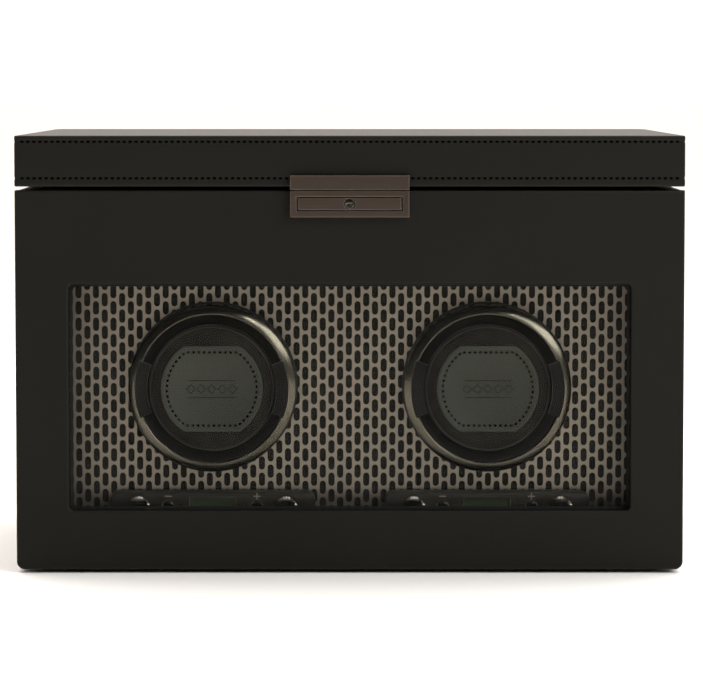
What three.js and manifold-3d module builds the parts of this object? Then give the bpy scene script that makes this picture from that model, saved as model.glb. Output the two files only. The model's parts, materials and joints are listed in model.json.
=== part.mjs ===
// Watch winder box for two watches, with a storage tray under its lid.
//
// A box-shaped case stands on a felt base. Its front is a drop-down door with a glass window, its top
// a lid hinged along the back. Behind the window a perforated fascia carries two winder modules side
// by side. In each module a motor turns a drum through a belt, and a cuff in the drum holds the watch.
//
// Millimetres, +X to the right, +Y from the front to the back, +Z up. The origin is on the surface
// that the box stands on, under the middle of the box.

import * as THREE from "three";
import { mergeVertices } from "three/addons/utils/BufferGeometryUtils.js";
import Module from "manifold-3d";

const wasm = await Module();
wasm.setup();

// ---------------------------------------------------------------- driving dimensions

// The whole box
const WIDTH = 342;
const DEPTH = 216;
const HEIGHT = 225;
const BOARD = 9; // case boards
const GLUE = 0.3; // glue line between two fixed pieces
const SLACK = 0.3; // space round a piece that slides or drops in

// Base
const FELT = 1.5;
const FELT_INSET = 5;

// Lid
const LID_HEIGHT = 26.5;
const LID_GAP = 2; // between the lid and the case
const LID_TOP_BOARD = 8;
const LINING = 5.5; // padded lining inside the lid
const LINING_MARGIN = 2;

// Door
const DOOR_THICKNESS = 12;
const DOOR_GAP = 1; // between the door and the case
const DOOR_FLOOR_GAP = 1.9; // under the door's lower edge
const CORNER_RADIUS = 4; // lower corners of the door
const LOWER_EDGE_RADIUS = 3; // lets the door's lower edge turn over the pin
const WINDOW_WIDTH = 287.5;
const WINDOW_HEIGHT = 116.4;
const WINDOW_BOTTOM = 32.2; // above the standing surface
const WINDOW_RADIUS = 2.5;
const GLASS = 3;
const GLASS_REBATE = 5.6; // the glass overlaps the window by this all round
const WINDOW_REVEAL = 7; // front of the door to the glass

// Door pivots: a pin near the door's front lower edge, on an arm let into the base
const PIVOT_INSET = 4; // pin behind the door's front face
const PIVOT_HEIGHT = 5.2;
const PIVOT_PIN_RADIUS = 1;
const PIVOT_PIN_LENGTH = 14;
const PIVOT_ARM = 2; // thickness of the arm
const PIVOT_ARM_HEIGHT = 3.8;
const PIVOT_ARM_LENGTH = 46;
const PIVOT_SPACING = 300;

// Lid hinge: a piano hinge with its leaves in the gap under the lid
const HINGE_LENGTH = 300;
const HINGE_KNUCKLES = 6;
const KNUCKLE_RADIUS = 2.2;
const KNUCKLE_GAP = 0.5;
const HINGE_PIN_RADIUS = 0.9;
const HINGE_AXIS_OUT = 2.3; // behind the case's back face
const LEAF = 0.6;
const LEAF_REACH = 8;

// Latch
const LATCH_RIM = 3.3; // of the door's plate, round the push bar's pocket
const LATCH_PROUD = 4.5;
const LATCH_LID_HEIGHT = 7.2;
const LATCH_SPLIT = 0.4; // between the lid's plate and the door's plate
const STRAP = 0.9; // thickness of the lid plate's strap and of the blade on its end
const BLADE_CLEARANCE = 0.6; // behind the door, as the blade swings forward a little when the lid opens
const BLADE_WIDTH = 20;
const BLADE_DROP = 12; // how far the blade reaches down behind the door
const BLADE_WINDOW_WIDTH = 7;
const BLADE_WINDOW_HEIGHT = 5;
const PUSH_BAR_WIDTH = 52.4;
const PUSH_BAR_WEB = 0.4; // over and under the key's bore
const PUSH_BAR_THICKNESS = 2;
const PUSH_BAR_RECESS = 0.2;
const PUSH_TRAVEL = 1.2;
const PUSH_CLEARANCE = 0.8; // round the bar and behind its travel
const KEY_RADIUS = 2.45;
const KEY_LENGTH = 9;
const KEY_SLOT_WIDTH = 0.8;
const SLEEVE_RADIUS = 5.6;
const SLEEVE_LENGTH = 7;

// Storage tray
const TRAY_WALL = 3;
const TRAY_HEIGHT = 42;
const TRAY_DROP = 2; // tray's rim below the case's top
const FRONT_ROW_DEPTH = 113; // the row of watch bays
const WATCH_BAYS = 3;
const REAR_DIVIDER_X = 40;
const CUSHION_WIDTH = 78;
const CUSHION_DEPTH = 58;
const CUSHION_HEIGHT = 38;

// Fascia
const FASCIA_BACK = 36; // from the door's front face to the fascia's face
const FASCIA = 1.2;

// Winder modules
const MODULE_PITCH = 143;
const DRUM_HEIGHT = 93; // drum's centre above the standing surface
const DRUM_RADIUS = 41.5;
const DRUM_WALL = 2.9;
const DRUM_DEPTH = 60;
const DRUM_BACK = 3;
const DRUM_CLEARANCE = 0.8;
const BEZEL_FRONT = 20; // from the door's front face to the bezel's crown
const BEZEL_LIP = 0.3; // the bezel reaches this far inside the drum's bore
const BEZEL_RISE = 3.2; // crown above the bezel's inner edge
const BEZEL_DEPTH = 10;
const BEZEL_WALL = 1.7;
const BEZEL_CLEARANCE = 0.8; // between the bezel and the fascia's hole

const SPINDLE_RADIUS = 4;
const BUSH_RADIUS = 6.5;
const BUSH_FLANGE = 9;
const BUSH_CLEARANCE = 0.3;
const PULLEY_RADIUS = 18;
const PULLEY_GROOVE = 15.5;
const MOTOR_PULLEY_RADIUS = 4.5;
const MOTOR_PULLEY_GROOVE = 2.5;
const PULLEY_WIDTH = 5;
const BELT = 1.6;
const BELT_GROOVE = 2.4;
const MOTOR_RADIUS = 12.5;
const MOTOR_FLATS = 19;
const MOTOR_LENGTH = 28;
const MOTOR_BOSS = 3;
const MOTOR_SHAFT_RADIUS = 1;
const MOTOR_DROP = 62; // motor's axis below the drum's axis

const HOUSING_CHEEK = 9.7; // material beside the drum's bore
const HOUSING_BACK = 4;
const HOUSING_RIM = 3;
const HOUSING_TOP_RIM = 1.8; // material over the drum's bore
const MOTOR_BAY_HEIGHT = 28;

// Cuff
const PILLOW_RADIUS = 33.2;
const PILLOW_DEPTH = 48;
const PILLOW_RECESS = 0.6; // behind the bezel's crown
const PILLOW_CROWN = 8.5; // front of the pillow to its widest section
const PILLOW_FACE_RADIUS = 27;
const PATCH_RADIUS = 26.4;
const PATCH_HEIGHT = 44.2;
const PATCH = 0.9;
const TAB_OVERLAP = 1.5; // the tab covers this much of the bezel
const TAB_TRAVEL = 1.6; // when squeezed
const TAB_CLEARANCE = 0.6; // beside the pillow when squeezed, and inside the bezel
const TAB_HALF_ANGLE = 22; // degrees
const TAB_LEG_HALF_ANGLE = 17.5; // degrees
const TAB_THICKNESS = 2;
const TAB_LEG = 22;

// Control panel
const PANEL_FRONT = 26; // from the door's front face to the panel's face
const PANEL_HALF_WIDTH = 53.3;
const PANEL_TOP = 40.1;
const PANEL_HEIGHT = 26;
const PANEL_SHOULDER = 11.7; // length of the curved shoulder at each end
const PANEL_SHOULDER_DROP = 4.6;
const PANEL_CORNER = 2.5;
const CONTROL_HEIGHT = 31; // knobs and buttons above the standing surface
const KNOB_X = 38.3;
const KNOB_RADIUS = 6;
const KNOB_PROUD = 5;
const KNOB_SHAFT_RADIUS = 2.2;
const BUTTON_X = 23.1;
const BUTTON_RADIUS = 2.9;
const BUTTON_PROUD = 1.4;
const CONTROL_SHAFT = 4.5; // how far knobs and buttons reach into the panel
const LCD_WIDTH = 24.6;
const LCD_HEIGHT = 13;
const LCD_TOP = 35.9;
const LCD_RECESS = 1.6;
const LCD = 1.2;

// Power socket in the back board
const SOCKET_X = 118;
const SOCKET_HEIGHT = 30;
const SOCKET_RADIUS = 5.5;
const SOCKET_FLANGE = 8;
const SOCKET_FLANGE_PROUD = 1.2;
const SOCKET_BORE = 2.8;
const SOCKET_DEPTH = 9;

// Facets
const FINE = 40;
const ROUND = 24;
const SMALL = 20;
const TINY = 12;

// ---------------------------------------------------------------- places worked out from them

const FRONT = -DEPTH / 2;
const BACK = DEPTH / 2;
const CASE_TOP = HEIGHT - LID_HEIGHT - LID_GAP;
const CASE_FRONT = FRONT + DOOR_THICKNESS + DOOR_GAP;
const BASE_BOTTOM = FELT + GLUE;
const BASE_TOP = BASE_BOTTOM + BOARD;
const INNER_HALF_WIDTH = WIDTH / 2 - BOARD;
const DOOR_BACK = FRONT + DOOR_THICKNESS;
const LID_BOTTOM = HEIGHT - LID_HEIGHT;
const HINGE_Y = BACK + HINGE_AXIS_OUT;
const HINGE_Z = CASE_TOP + LID_GAP / 2;
const PIVOT_Y = FRONT + PIVOT_INSET;
const TRAY_TOP = CASE_TOP - TRAY_DROP;
const TRAY_BOTTOM = TRAY_TOP - TRAY_HEIGHT;
const TRAY_FRONT = CASE_FRONT + DOOR_GAP;
const TRAY_BACK = BACK - BOARD - SLACK;
const TRAY_HALF_WIDTH = INNER_HALF_WIDTH - SLACK;
const FASCIA_FRONT = FRONT + FASCIA_BACK;
const FASCIA_REAR = FASCIA_FRONT + FASCIA;
const DRUM_FRONT = FRONT + BEZEL_FRONT + BEZEL_RISE + GLUE; // rim of the drum, behind the bezel
const DRUM_REAR = DRUM_FRONT + DRUM_DEPTH;
const DRUM_BORE = DRUM_RADIUS - DRUM_WALL;
const BEZEL_RADIUS = DRUM_RADIUS + GLUE + BEZEL_WALL;
const BEZEL_BORE = DRUM_BORE - BEZEL_LIP;
const HOUSING_BORE = DRUM_RADIUS + DRUM_CLEARANCE;
const HOUSING_REAR = DRUM_REAR + 14;
const PLATE_FRONT = HOUSING_REAR - HOUSING_BACK; // front of the housing's back plate
const PULLEY_FRONT = HOUSING_REAR + 4;
const PUSH_BAR_HEIGHT = 2 * (KEY_RADIUS + SLACK + PUSH_BAR_WEB);
const LATCH_WIDTH = PUSH_BAR_WIDTH + 2 * (PUSH_CLEARANCE + LATCH_RIM);
const LATCH_DOOR_HEIGHT = PUSH_BAR_HEIGHT + PUSH_CLEARANCE + 2 * LATCH_RIM;
const LATCH_SPLIT_Z = CASE_TOP + LATCH_SPLIT;
const BLADE_FRONT = DOOR_BACK + BLADE_CLEARANCE;
const PUSH_Z = LATCH_SPLIT_Z - LATCH_SPLIT / 2 - LATCH_DOOR_HEIGHT / 2;

// ---------------------------------------------------------------- shaping helpers

// A closed three.js geometry as a manifold-3d solid.
function solid(geometry) {
  const bare = geometry.index ? geometry.toNonIndexed() : geometry.clone();
  bare.deleteAttribute("normal");
  bare.deleteAttribute("uv");
  const merged = mergeVertices(bare, 1e-4);
  return new wasm.Manifold(
    new wasm.Mesh({
      numProp: 3,
      vertProperties: merged.attributes.position.array,
      triVerts: new Uint32Array(merged.index.array),
    }),
  );
}

function geometryOf(manifold) {
  const mesh = manifold.getMesh();
  const stride = mesh.numProp;
  const positions = new Float32Array(mesh.numVert * 3);
  for (let i = 0; i < mesh.numVert; i++) {
    positions.set(mesh.vertProperties.subarray(i * stride, i * stride + 3), i * 3);
  }
  const geometry = new THREE.BufferGeometry();
  geometry.setAttribute("position", new THREE.BufferAttribute(positions, 3));
  geometry.setIndex(new THREE.BufferAttribute(mesh.triVerts, 1));
  geometry.computeVertexNormals();
  return geometry;
}

function cut(base, ...tools) {
  return geometryOf(tools.reduce((left, tool) => left.subtract(solid(tool)), solid(base)));
}

function common(first, second) {
  return geometryOf(solid(first).intersect(solid(second)));
}

function join(...pieces) {
  return geometryOf(pieces.slice(1).reduce((all, piece) => all.add(solid(piece)), solid(pieces[0])));
}

// A box from its lowest corner to its highest corner.
function block(x0, y0, z0, x1, y1, z1) {
  return new THREE.BoxGeometry(x1 - x0, y1 - y0, z1 - z0).translate(
    (x0 + x1) / 2,
    (y0 + y1) / 2,
    (z0 + z1) / 2,
  );
}

// A disc or rod along Y, from y0 to y1, centred on (x, z).
function rodY(radius, y0, y1, facets, x = 0, z = 0) {
  return new THREE.CylinderGeometry(radius, radius, y1 - y0, facets).translate(x, (y0 + y1) / 2, z);
}

// A rod along X, from x0 to x1, centred on (y, z).
function rodX(radius, x0, x1, facets, y, z) {
  return new THREE.CylinderGeometry(radius, radius, x1 - x0, facets)
    .rotateZ(Math.PI / 2)
    .translate((x0 + x1) / 2, y, z);
}

// A shape drawn in X and Z, pushed from y0 to y1.
function slabXZ(shape, y0, y1, curveSegments = 6) {
  return new THREE.ExtrudeGeometry(shape, { depth: y1 - y0, bevelEnabled: false, curveSegments })
    .rotateX(Math.PI / 2)
    .translate(0, y1, 0);
}

// A shape drawn in Y and Z, pushed from x0 to x1.
function slabYZ(shape, x0, x1, curveSegments = 6) {
  const turn = new THREE.Matrix4().makeBasis(
    new THREE.Vector3(0, 1, 0),
    new THREE.Vector3(0, 0, 1),
    new THREE.Vector3(1, 0, 0),
  );
  return new THREE.ExtrudeGeometry(shape, { depth: x1 - x0, bevelEnabled: false, curveSegments })
    .applyMatrix4(turn)
    .translate(x0, 0, 0);
}

// A solid of revolution about Y, from points [radius, y]. A ring's profile closes on itself.
function turned(profile, facets) {
  const ring = profile.every(([radius]) => radius > 0);
  const points = profile.map(([radius, y]) => new THREE.Vector2(radius, y));
  const area = THREE.ShapeUtils.area(points);
  if (area < 0) points.reverse();
  if (ring) points.push(points[0].clone());
  return new THREE.LatheGeometry(points, facets);
}

// A rectangle with round corners, given as [lower left, lower right, upper right, upper left] radii.
function roundedRectangle(x0, z0, x1, z1, radii) {
  const [lowerLeft, lowerRight, upperRight, upperLeft] = radii;
  const shape = new THREE.Shape();
  shape.moveTo(x0 + lowerLeft, z0);
  shape.lineTo(x1 - lowerRight, z0);
  if (lowerRight) shape.absarc(x1 - lowerRight, z0 + lowerRight, lowerRight, -Math.PI / 2, 0);
  shape.lineTo(x1, z1 - upperRight);
  if (upperRight) shape.absarc(x1 - upperRight, z1 - upperRight, upperRight, 0, Math.PI / 2);
  shape.lineTo(x0 + upperLeft, z1);
  if (upperLeft) shape.absarc(x0 + upperLeft, z1 - upperLeft, upperLeft, Math.PI / 2, Math.PI);
  shape.lineTo(x0, z0 + lowerLeft);
  if (lowerLeft) shape.absarc(x0 + lowerLeft, z0 + lowerLeft, lowerLeft, Math.PI, Math.PI * 1.5);
  return shape;
}

// ---------------------------------------------------------------- materials

function finish(color, roughness, metalness = 0, extra = {}) {
  return new THREE.MeshStandardMaterial({ color, roughness, metalness, ...extra });
}

const leather = finish(0x242320, 0.6);
const felt = finish(0x0e0e0d, 0.95);
const suede = finish(0x3b3833, 0.9);
const gunmetal = finish(0x4a423b, 0.35, 0.9);
const darkChrome = finish(0x8c897c, 0.22, 1);
const champagneSteel = finish(0x7c766b, 0.5, 0.7);
const blackPlastic = finish(0x1a1a17, 0.5);
const glossPlastic = finish(0x0c0c0b, 0.2);
const panelPlastic = finish(0x2b2b24, 0.5);
const steel = finish(0xa0a0a0, 0.35, 1);
const brass = finish(0xb08d4a, 0.4, 1);
const rubber = finish(0x111111, 0.85);
const glass = finish(0xe8eeea, 0.05, 0, { transparent: true, opacity: 0.2 });
const lcdGlass = finish(0x2a3a30, 0.15);

function piece(name, geometry, material) {
  const mesh = new THREE.Mesh(geometry, material);
  mesh.name = name;
  return mesh;
}

// ---------------------------------------------------------------- case

function makeCase() {
  const group = new THREE.Group();
  const half = WIDTH / 2;
  const armGroove = PIVOT_HEIGHT + PIVOT_ARM_HEIGHT / 2 + SLACK;
  const grooveHalf = PIVOT_ARM / 2 + SLACK;
  const groove = (x) =>
    block(
      x - grooveHalf,
      CASE_FRONT - 1,
      BASE_BOTTOM - 1,
      x + grooveHalf,
      PIVOT_Y + PIVOT_ARM_LENGTH + SLACK,
      armGroove,
    );
  const base = cut(
    block(-half, CASE_FRONT, BASE_BOTTOM, half, BACK, BASE_TOP),
    groove(-PIVOT_SPACING / 2),
    groove(PIVOT_SPACING / 2),
  );
  group.add(piece("base_board", base, leather));

  const wallBottom = BASE_TOP + GLUE;
  const left = block(-half, CASE_FRONT, wallBottom, -INNER_HALF_WIDTH, BACK, CASE_TOP);
  const right = block(INNER_HALF_WIDTH, CASE_FRONT, wallBottom, half, BACK, CASE_TOP);
  group.add(piece("left_board", left, leather));
  group.add(piece("right_board", right, leather));

  const backHalf = INNER_HALF_WIDTH - GLUE;
  const back = cut(
    block(-backHalf, BACK - BOARD, wallBottom, backHalf, BACK, CASE_TOP),
    rodY(SOCKET_RADIUS + SLACK, BACK - BOARD - 1, BACK + 1, SMALL, SOCKET_X, SOCKET_HEIGHT),
  );
  group.add(piece("back_board", back, leather));

  const feltHalf = half - FELT_INSET;
  const feltFront = CASE_FRONT + FELT_INSET;
  const pad = block(-feltHalf, feltFront, 0, feltHalf, BACK - FELT_INSET, FELT);
  group.add(piece("base_felt", pad, felt));
  group.add(makePowerSocket());
  return group;
}

// A barrel socket pushed in from the back, with a flange outside.
function makePowerSocket() {
  const inner = BACK - SOCKET_DEPTH;
  const seat = BACK + GLUE;
  const outer = seat + SOCKET_FLANGE_PROUD;
  const profile = [
    [0, inner],
    [SOCKET_RADIUS, inner],
    [SOCKET_RADIUS, seat],
    [SOCKET_FLANGE, seat],
    [SOCKET_FLANGE, outer],
    [SOCKET_BORE, outer],
    [SOCKET_BORE, inner + 2],
    [0, inner + 2],
  ];
  const mesh = piece("power_socket", turned(profile, FINE), blackPlastic);
  mesh.position.set(SOCKET_X, 0, SOCKET_HEIGHT);
  return mesh;
}

// ---------------------------------------------------------------- storage tray and its cushions

// The middle of each watch bay, from left to right, and the bays' width.
function watchBays() {
  const inside = 2 * (TRAY_HALF_WIDTH - TRAY_WALL);
  const width = (inside - (WATCH_BAYS - 1) * TRAY_WALL) / WATCH_BAYS;
  const middles = [];
  for (let i = 0; i < WATCH_BAYS; i++) {
    middles.push(-inside / 2 + width / 2 + i * (width + TRAY_WALL));
  }
  return { width, middles };
}

function makeStorage() {
  const group = new THREE.Group();
  const floor = TRAY_BOTTOM + TRAY_WALL;
  const rowFront = TRAY_FRONT + TRAY_WALL;
  const rowBack = rowFront + FRONT_ROW_DEPTH;
  const { width, middles } = watchBays();
  const bays = middles.map((x) =>
    block(x - width / 2, rowFront, floor, x + width / 2, rowBack, TRAY_TOP + 1),
  );
  const inside = TRAY_HALF_WIDTH - TRAY_WALL;
  const rearFront = rowBack + TRAY_WALL;
  const rearBack = TRAY_BACK - TRAY_WALL;
  const divider = TRAY_WALL / 2;
  bays.push(
    block(-inside, rearFront, floor, REAR_DIVIDER_X - divider, rearBack, TRAY_TOP + 1),
    block(REAR_DIVIDER_X + divider, rearFront, floor, inside, rearBack, TRAY_TOP + 1),
  );
  const tray = cut(
    block(-TRAY_HALF_WIDTH, TRAY_FRONT, TRAY_BOTTOM, TRAY_HALF_WIDTH, TRAY_BACK, TRAY_TOP),
    ...bays,
  );
  group.add(piece("storage_tray", tray, suede));

  const names = ["watch_cushion_left", "watch_cushion_middle", "watch_cushion_right"];
  const bottom = floor + SLACK;
  const middleY = (rowFront + rowBack) / 2;
  names.forEach((name, i) => {
    const radius = CUSHION_HEIGHT * 0.38;
    const section = roundedRectangle(
      middleY - CUSHION_DEPTH / 2,
      bottom,
      middleY + CUSHION_DEPTH / 2,
      bottom + CUSHION_HEIGHT,
      [radius, radius, radius, radius],
    );
    const x0 = middles[i] - CUSHION_WIDTH / 2;
    group.add(piece(name, slabYZ(section, x0, x0 + CUSHION_WIDTH), leather));
  });
  return group;
}

// ---------------------------------------------------------------- fascia

function makeFascia() {
  const edge = INNER_HALF_WIDTH - SLACK;
  const plate = block(
    -edge,
    FASCIA_FRONT,
    BASE_TOP + SLACK,
    edge,
    FASCIA_REAR,
    TRAY_BOTTOM - SLACK,
  );
  const holes = [-1, 1].map((side) =>
    rodY(
      BEZEL_RADIUS + BEZEL_CLEARANCE,
      FASCIA_FRONT - 1,
      FASCIA_REAR + 1,
      FINE,
      (side * MODULE_PITCH) / 2,
      DRUM_HEIGHT,
    ),
  );
  return piece("fascia_panel", cut(plate, ...holes), champagneSteel);
}

// ---------------------------------------------------------------- door

function windowShape(margin) {
  const half = WINDOW_WIDTH / 2 + margin;
  const radius = WINDOW_RADIUS;
  return roundedRectangle(
    -half,
    WINDOW_BOTTOM - margin,
    half,
    WINDOW_BOTTOM + WINDOW_HEIGHT + margin,
    [radius, radius, radius, radius],
  );
}

function makeDoor() {
  const group = new THREE.Group();
  const half = WIDTH / 2;
  const outline = roundedRectangle(-half, DOOR_FLOOR_GAP, half, CASE_TOP, [
    CORNER_RADIUS,
    CORNER_RADIUS,
    0,
    0,
  ]);
  const edge = LOWER_EDGE_RADIUS;
  const section = roundedRectangle(FRONT, DOOR_FLOOR_GAP, DOOR_BACK, CASE_TOP, [edge, edge, 0, 0]);
  const blank = common(slabXZ(outline, FRONT, DOOR_BACK), slabYZ(section, -half, half));
  const glassFront = FRONT + WINDOW_REVEAL;
  const cuts = [
    slabXZ(windowShape(0), FRONT - 1, DOOR_BACK + 1),
    slabXZ(windowShape(GLASS_REBATE + SLACK), glassFront, DOOR_BACK + 1),
    rodY(SLEEVE_RADIUS + GLUE, FRONT - 1, FRONT + SLEEVE_LENGTH + 2 * GLUE, SMALL, 0, PUSH_Z),
  ];
  for (const side of [-1, 1]) {
    const x = (side * PIVOT_SPACING) / 2;
    const slotHalf = PIVOT_ARM / 2 + SLACK;
    const reach = PIVOT_ARM_HEIGHT / 2 + SLACK;
    const pinHalf = PIVOT_PIN_LENGTH / 2 + SLACK;
    cuts.push(
      block(x - slotHalf, PIVOT_Y - reach, 0, x + slotHalf, DOOR_BACK + 1, PIVOT_HEIGHT + reach),
      rodX(PIVOT_PIN_RADIUS + SLACK, x - pinHalf, x + pinHalf, TINY, PIVOT_Y, PIVOT_HEIGHT),
    );
  }
  group.add(piece("door_panel", cut(blank, ...cuts), leather));

  const pane = slabXZ(windowShape(GLASS_REBATE), glassFront + SLACK, glassFront + SLACK + GLASS);
  group.add(piece("door_glass", pane, glass));
  return group;
}

// An arm let into the base board, with the pin that the door swings on.
function makeDoorPivots() {
  const group = new THREE.Group();
  for (const side of [-1, 1]) {
    const x = (side * PIVOT_SPACING) / 2;
    const radius = PIVOT_ARM_HEIGHT / 2;
    const arm = roundedRectangle(
      PIVOT_Y - radius,
      PIVOT_HEIGHT - radius,
      PIVOT_Y + PIVOT_ARM_LENGTH,
      PIVOT_HEIGHT + radius,
      [radius, 0, 0, radius],
    );
    const half = PIVOT_PIN_LENGTH / 2;
    const body = join(
      slabYZ(arm, x - PIVOT_ARM / 2, x + PIVOT_ARM / 2),
      rodX(PIVOT_PIN_RADIUS, x - half, x + half, TINY, PIVOT_Y, PIVOT_HEIGHT),
    );
    group.add(piece(side < 0 ? "door_pivot_left" : "door_pivot_right", body, steel));
  }
  return group;
}

// ---------------------------------------------------------------- lid and its hinge

function makeLid() {
  const group = new THREE.Group();
  const half = WIDTH / 2;
  const recess = LID_BOTTOM + LID_HEIGHT - LID_TOP_BOARD;
  const shell = cut(
    block(-half, FRONT, LID_BOTTOM, half, BACK, HEIGHT),
    block(
      -INNER_HALF_WIDTH,
      FRONT + BOARD,
      LID_BOTTOM - 1,
      INNER_HALF_WIDTH,
      BACK - BOARD,
      recess,
    ),
  );
  group.add(piece("lid_shell", shell, leather));
  const liningHalf = INNER_HALF_WIDTH - LINING_MARGIN;
  const liningEdge = BACK - BOARD - LINING_MARGIN;
  const liningTop = recess - GLUE;
  group.add(
    piece(
      "lid_lining",
      block(-liningHalf, -liningEdge, liningTop - LINING, liningHalf, liningEdge, liningTop),
      suede,
    ),
  );
  return group;
}

// One half of the piano hinge: a leaf and every second knuckle.
function hingeLeaf(first, leafBottom, withPin) {
  const start = -HINGE_LENGTH / 2;
  const pitch = HINGE_LENGTH / HINGE_KNUCKLES;
  const leafFront = BACK - LEAF_REACH;
  const pieces = [
    block(start, leafFront, leafBottom, -start, BACK - KNUCKLE_GAP, leafBottom + LEAF),
  ];
  const bores = [];
  for (let i = first; i < HINGE_KNUCKLES; i += 2) {
    const x0 = start + i * pitch + KNUCKLE_GAP / 2;
    const x1 = x0 + pitch - KNUCKLE_GAP;
    pieces.push(rodX(KNUCKLE_RADIUS, x0, x1, SMALL, HINGE_Y, HINGE_Z));
    pieces.push(
      block(x0, BACK - KNUCKLE_GAP - 1, leafBottom, x1, HINGE_Y - HINGE_PIN_RADIUS, leafBottom + LEAF),
    );
    if (!withPin) {
      bores.push(
        rodX(HINGE_PIN_RADIUS + SLACK, x0 - 1, x1 + 1, TINY, HINGE_Y, HINGE_Z),
      );
    }
  }
  if (withPin) pieces.push(rodX(HINGE_PIN_RADIUS, start, -start, TINY, HINGE_Y, HINGE_Z));
  return bores.length ? cut(join(...pieces), ...bores) : join(...pieces);
}

function makeLidHinge() {
  const group = new THREE.Group();
  const clear = (LID_GAP / 2 - LEAF) / 2;
  group.add(piece("hinge_case_leaf", hingeLeaf(0, CASE_TOP + clear, true), gunmetal));
  group.add(
    piece("hinge_lid_leaf", hingeLeaf(1, LID_BOTTOM - clear - LEAF, false), gunmetal),
  );
  return group;
}

// ---------------------------------------------------------------- latch

function makeLatch() {
  const group = new THREE.Group();
  const half = LATCH_WIDTH / 2;
  const outer = FRONT - LATCH_PROUD;
  const face = FRONT - GLUE;
  const upperBottom = LATCH_SPLIT_Z + LATCH_SPLIT / 2;
  const strapTop = LID_BOTTOM - GLUE;
  const blade = BLADE_FRONT;
  const bladeHalf = BLADE_WIDTH / 2;
  const bladeBottom = CASE_TOP - BLADE_DROP;
  const lidPlate = cut(
    join(
      block(-half, outer, upperBottom, half, face, upperBottom + LATCH_LID_HEIGHT),
      block(-bladeHalf, outer + 1, strapTop - STRAP, bladeHalf, blade + STRAP, strapTop),
      block(-bladeHalf, blade, bladeBottom, bladeHalf, blade + STRAP, strapTop),
    ),
    block(
      -BLADE_WINDOW_WIDTH / 2,
      blade - 1,
      PUSH_Z - BLADE_WINDOW_HEIGHT / 2,
      BLADE_WINDOW_WIDTH / 2,
      blade + STRAP + 1,
      PUSH_Z + BLADE_WINDOW_HEIGHT / 2,
    ),
  );
  group.add(piece("latch_lid_plate", lidPlate, gunmetal));

  const lowerTop = LATCH_SPLIT_Z - LATCH_SPLIT / 2;
  const pocketHalf = PUSH_BAR_WIDTH / 2 + PUSH_CLEARANCE;
  const pocketHeight = (PUSH_BAR_HEIGHT + PUSH_CLEARANCE) / 2;
  const barFront = outer + PUSH_BAR_RECESS;
  const barBack = barFront + PUSH_BAR_THICKNESS;
  const pocketFloor = barBack + PUSH_TRAVEL + PUSH_CLEARANCE / 2;
  const doorPlate = cut(
    block(-half, outer, lowerTop - LATCH_DOOR_HEIGHT, half, face, lowerTop),
    block(
      -pocketHalf,
      outer - 1,
      PUSH_Z - pocketHeight,
      pocketHalf,
      pocketFloor,
      PUSH_Z + pocketHeight,
    ),
    rodY(KEY_RADIUS + SLACK, outer - 1, face + 1, SMALL, 0, PUSH_Z),
  );
  group.add(piece("latch_door_plate", doorPlate, gunmetal));

  const bar = cut(
    block(
      -PUSH_BAR_WIDTH / 2,
      barFront,
      PUSH_Z - PUSH_BAR_HEIGHT / 2,
      PUSH_BAR_WIDTH / 2,
      barBack,
      PUSH_Z + PUSH_BAR_HEIGHT / 2,
    ),
    rodY(KEY_RADIUS + SLACK, barFront - 1, barBack + 1, SMALL, 0, PUSH_Z),
  );
  group.add(piece("push_bar", bar, gunmetal));

  const keyFront = barFront + 0.2;
  const key = cut(
    rodY(KEY_RADIUS, keyFront, keyFront + KEY_LENGTH, SMALL, 0, PUSH_Z),
    block(
      -KEY_RADIUS * 0.6,
      keyFront - 1,
      PUSH_Z - KEY_SLOT_WIDTH / 2,
      KEY_RADIUS * 0.6,
      keyFront + 1.2,
      PUSH_Z + KEY_SLOT_WIDTH / 2,
    ),
  );
  group.add(piece("key_cylinder", key, darkChrome));

  const sleeveFront = FRONT + GLUE;
  const sleeve = cut(
    rodY(SLEEVE_RADIUS, sleeveFront, sleeveFront + SLEEVE_LENGTH, SMALL, 0, PUSH_Z),
    rodY(KEY_RADIUS + SLACK, sleeveFront - 1, sleeveFront + SLEEVE_LENGTH + 1, SMALL, 0, PUSH_Z),
  );
  group.add(piece("lock_sleeve", sleeve, brass));
  return group;
}

// ---------------------------------------------------------------- winder module

// Every piece of a module is drawn round the drum's axis and named with the module's side.
function makeModule(side) {
  const group = new THREE.Group();
  const add = (name, geometry, material) =>
    group.add(piece(`${side}_${name}`, geometry, material));

  add("module_housing", housing(), blackPlastic);
  add("drum_cup", drumCup(), suede);
  add("drum_bezel", drumBezel(), darkChrome);
  add("drum_spindle", drumSpindle(), steel);
  add("spindle_bush", spindleBush(), brass);
  add("motor", motorCan(), steel);
  add("motor_pulley", motorPulley(), blackPlastic);
  add("drive_belt", driveBelt(), rubber);
  add("cuff_pillow", cuffPillow(), suede);
  add("cuff_patch", cuffPatch(), leather);
  add("cuff_tab_outer", cuffTab(side === "left" ? -1 : 1), blackPlastic);
  add("cuff_tab_inner", cuffTab(side === "left" ? 1 : -1), blackPlastic);
  add("control_panel", controlPanel(), panelPlastic);
  add("lcd_window", lcdWindow(), lcdGlass);
  add("mode_knob", knob(-KNOB_X), glossPlastic);
  add("turns_knob", knob(KNOB_X), glossPlastic);
  add("minus_button", button(-BUTTON_X), glossPlastic);
  add("plus_button", button(BUTTON_X), glossPlastic);

  group.position.set(((side === "left" ? -1 : 1) * MODULE_PITCH) / 2, 0, DRUM_HEIGHT);
  return group;
}

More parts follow.
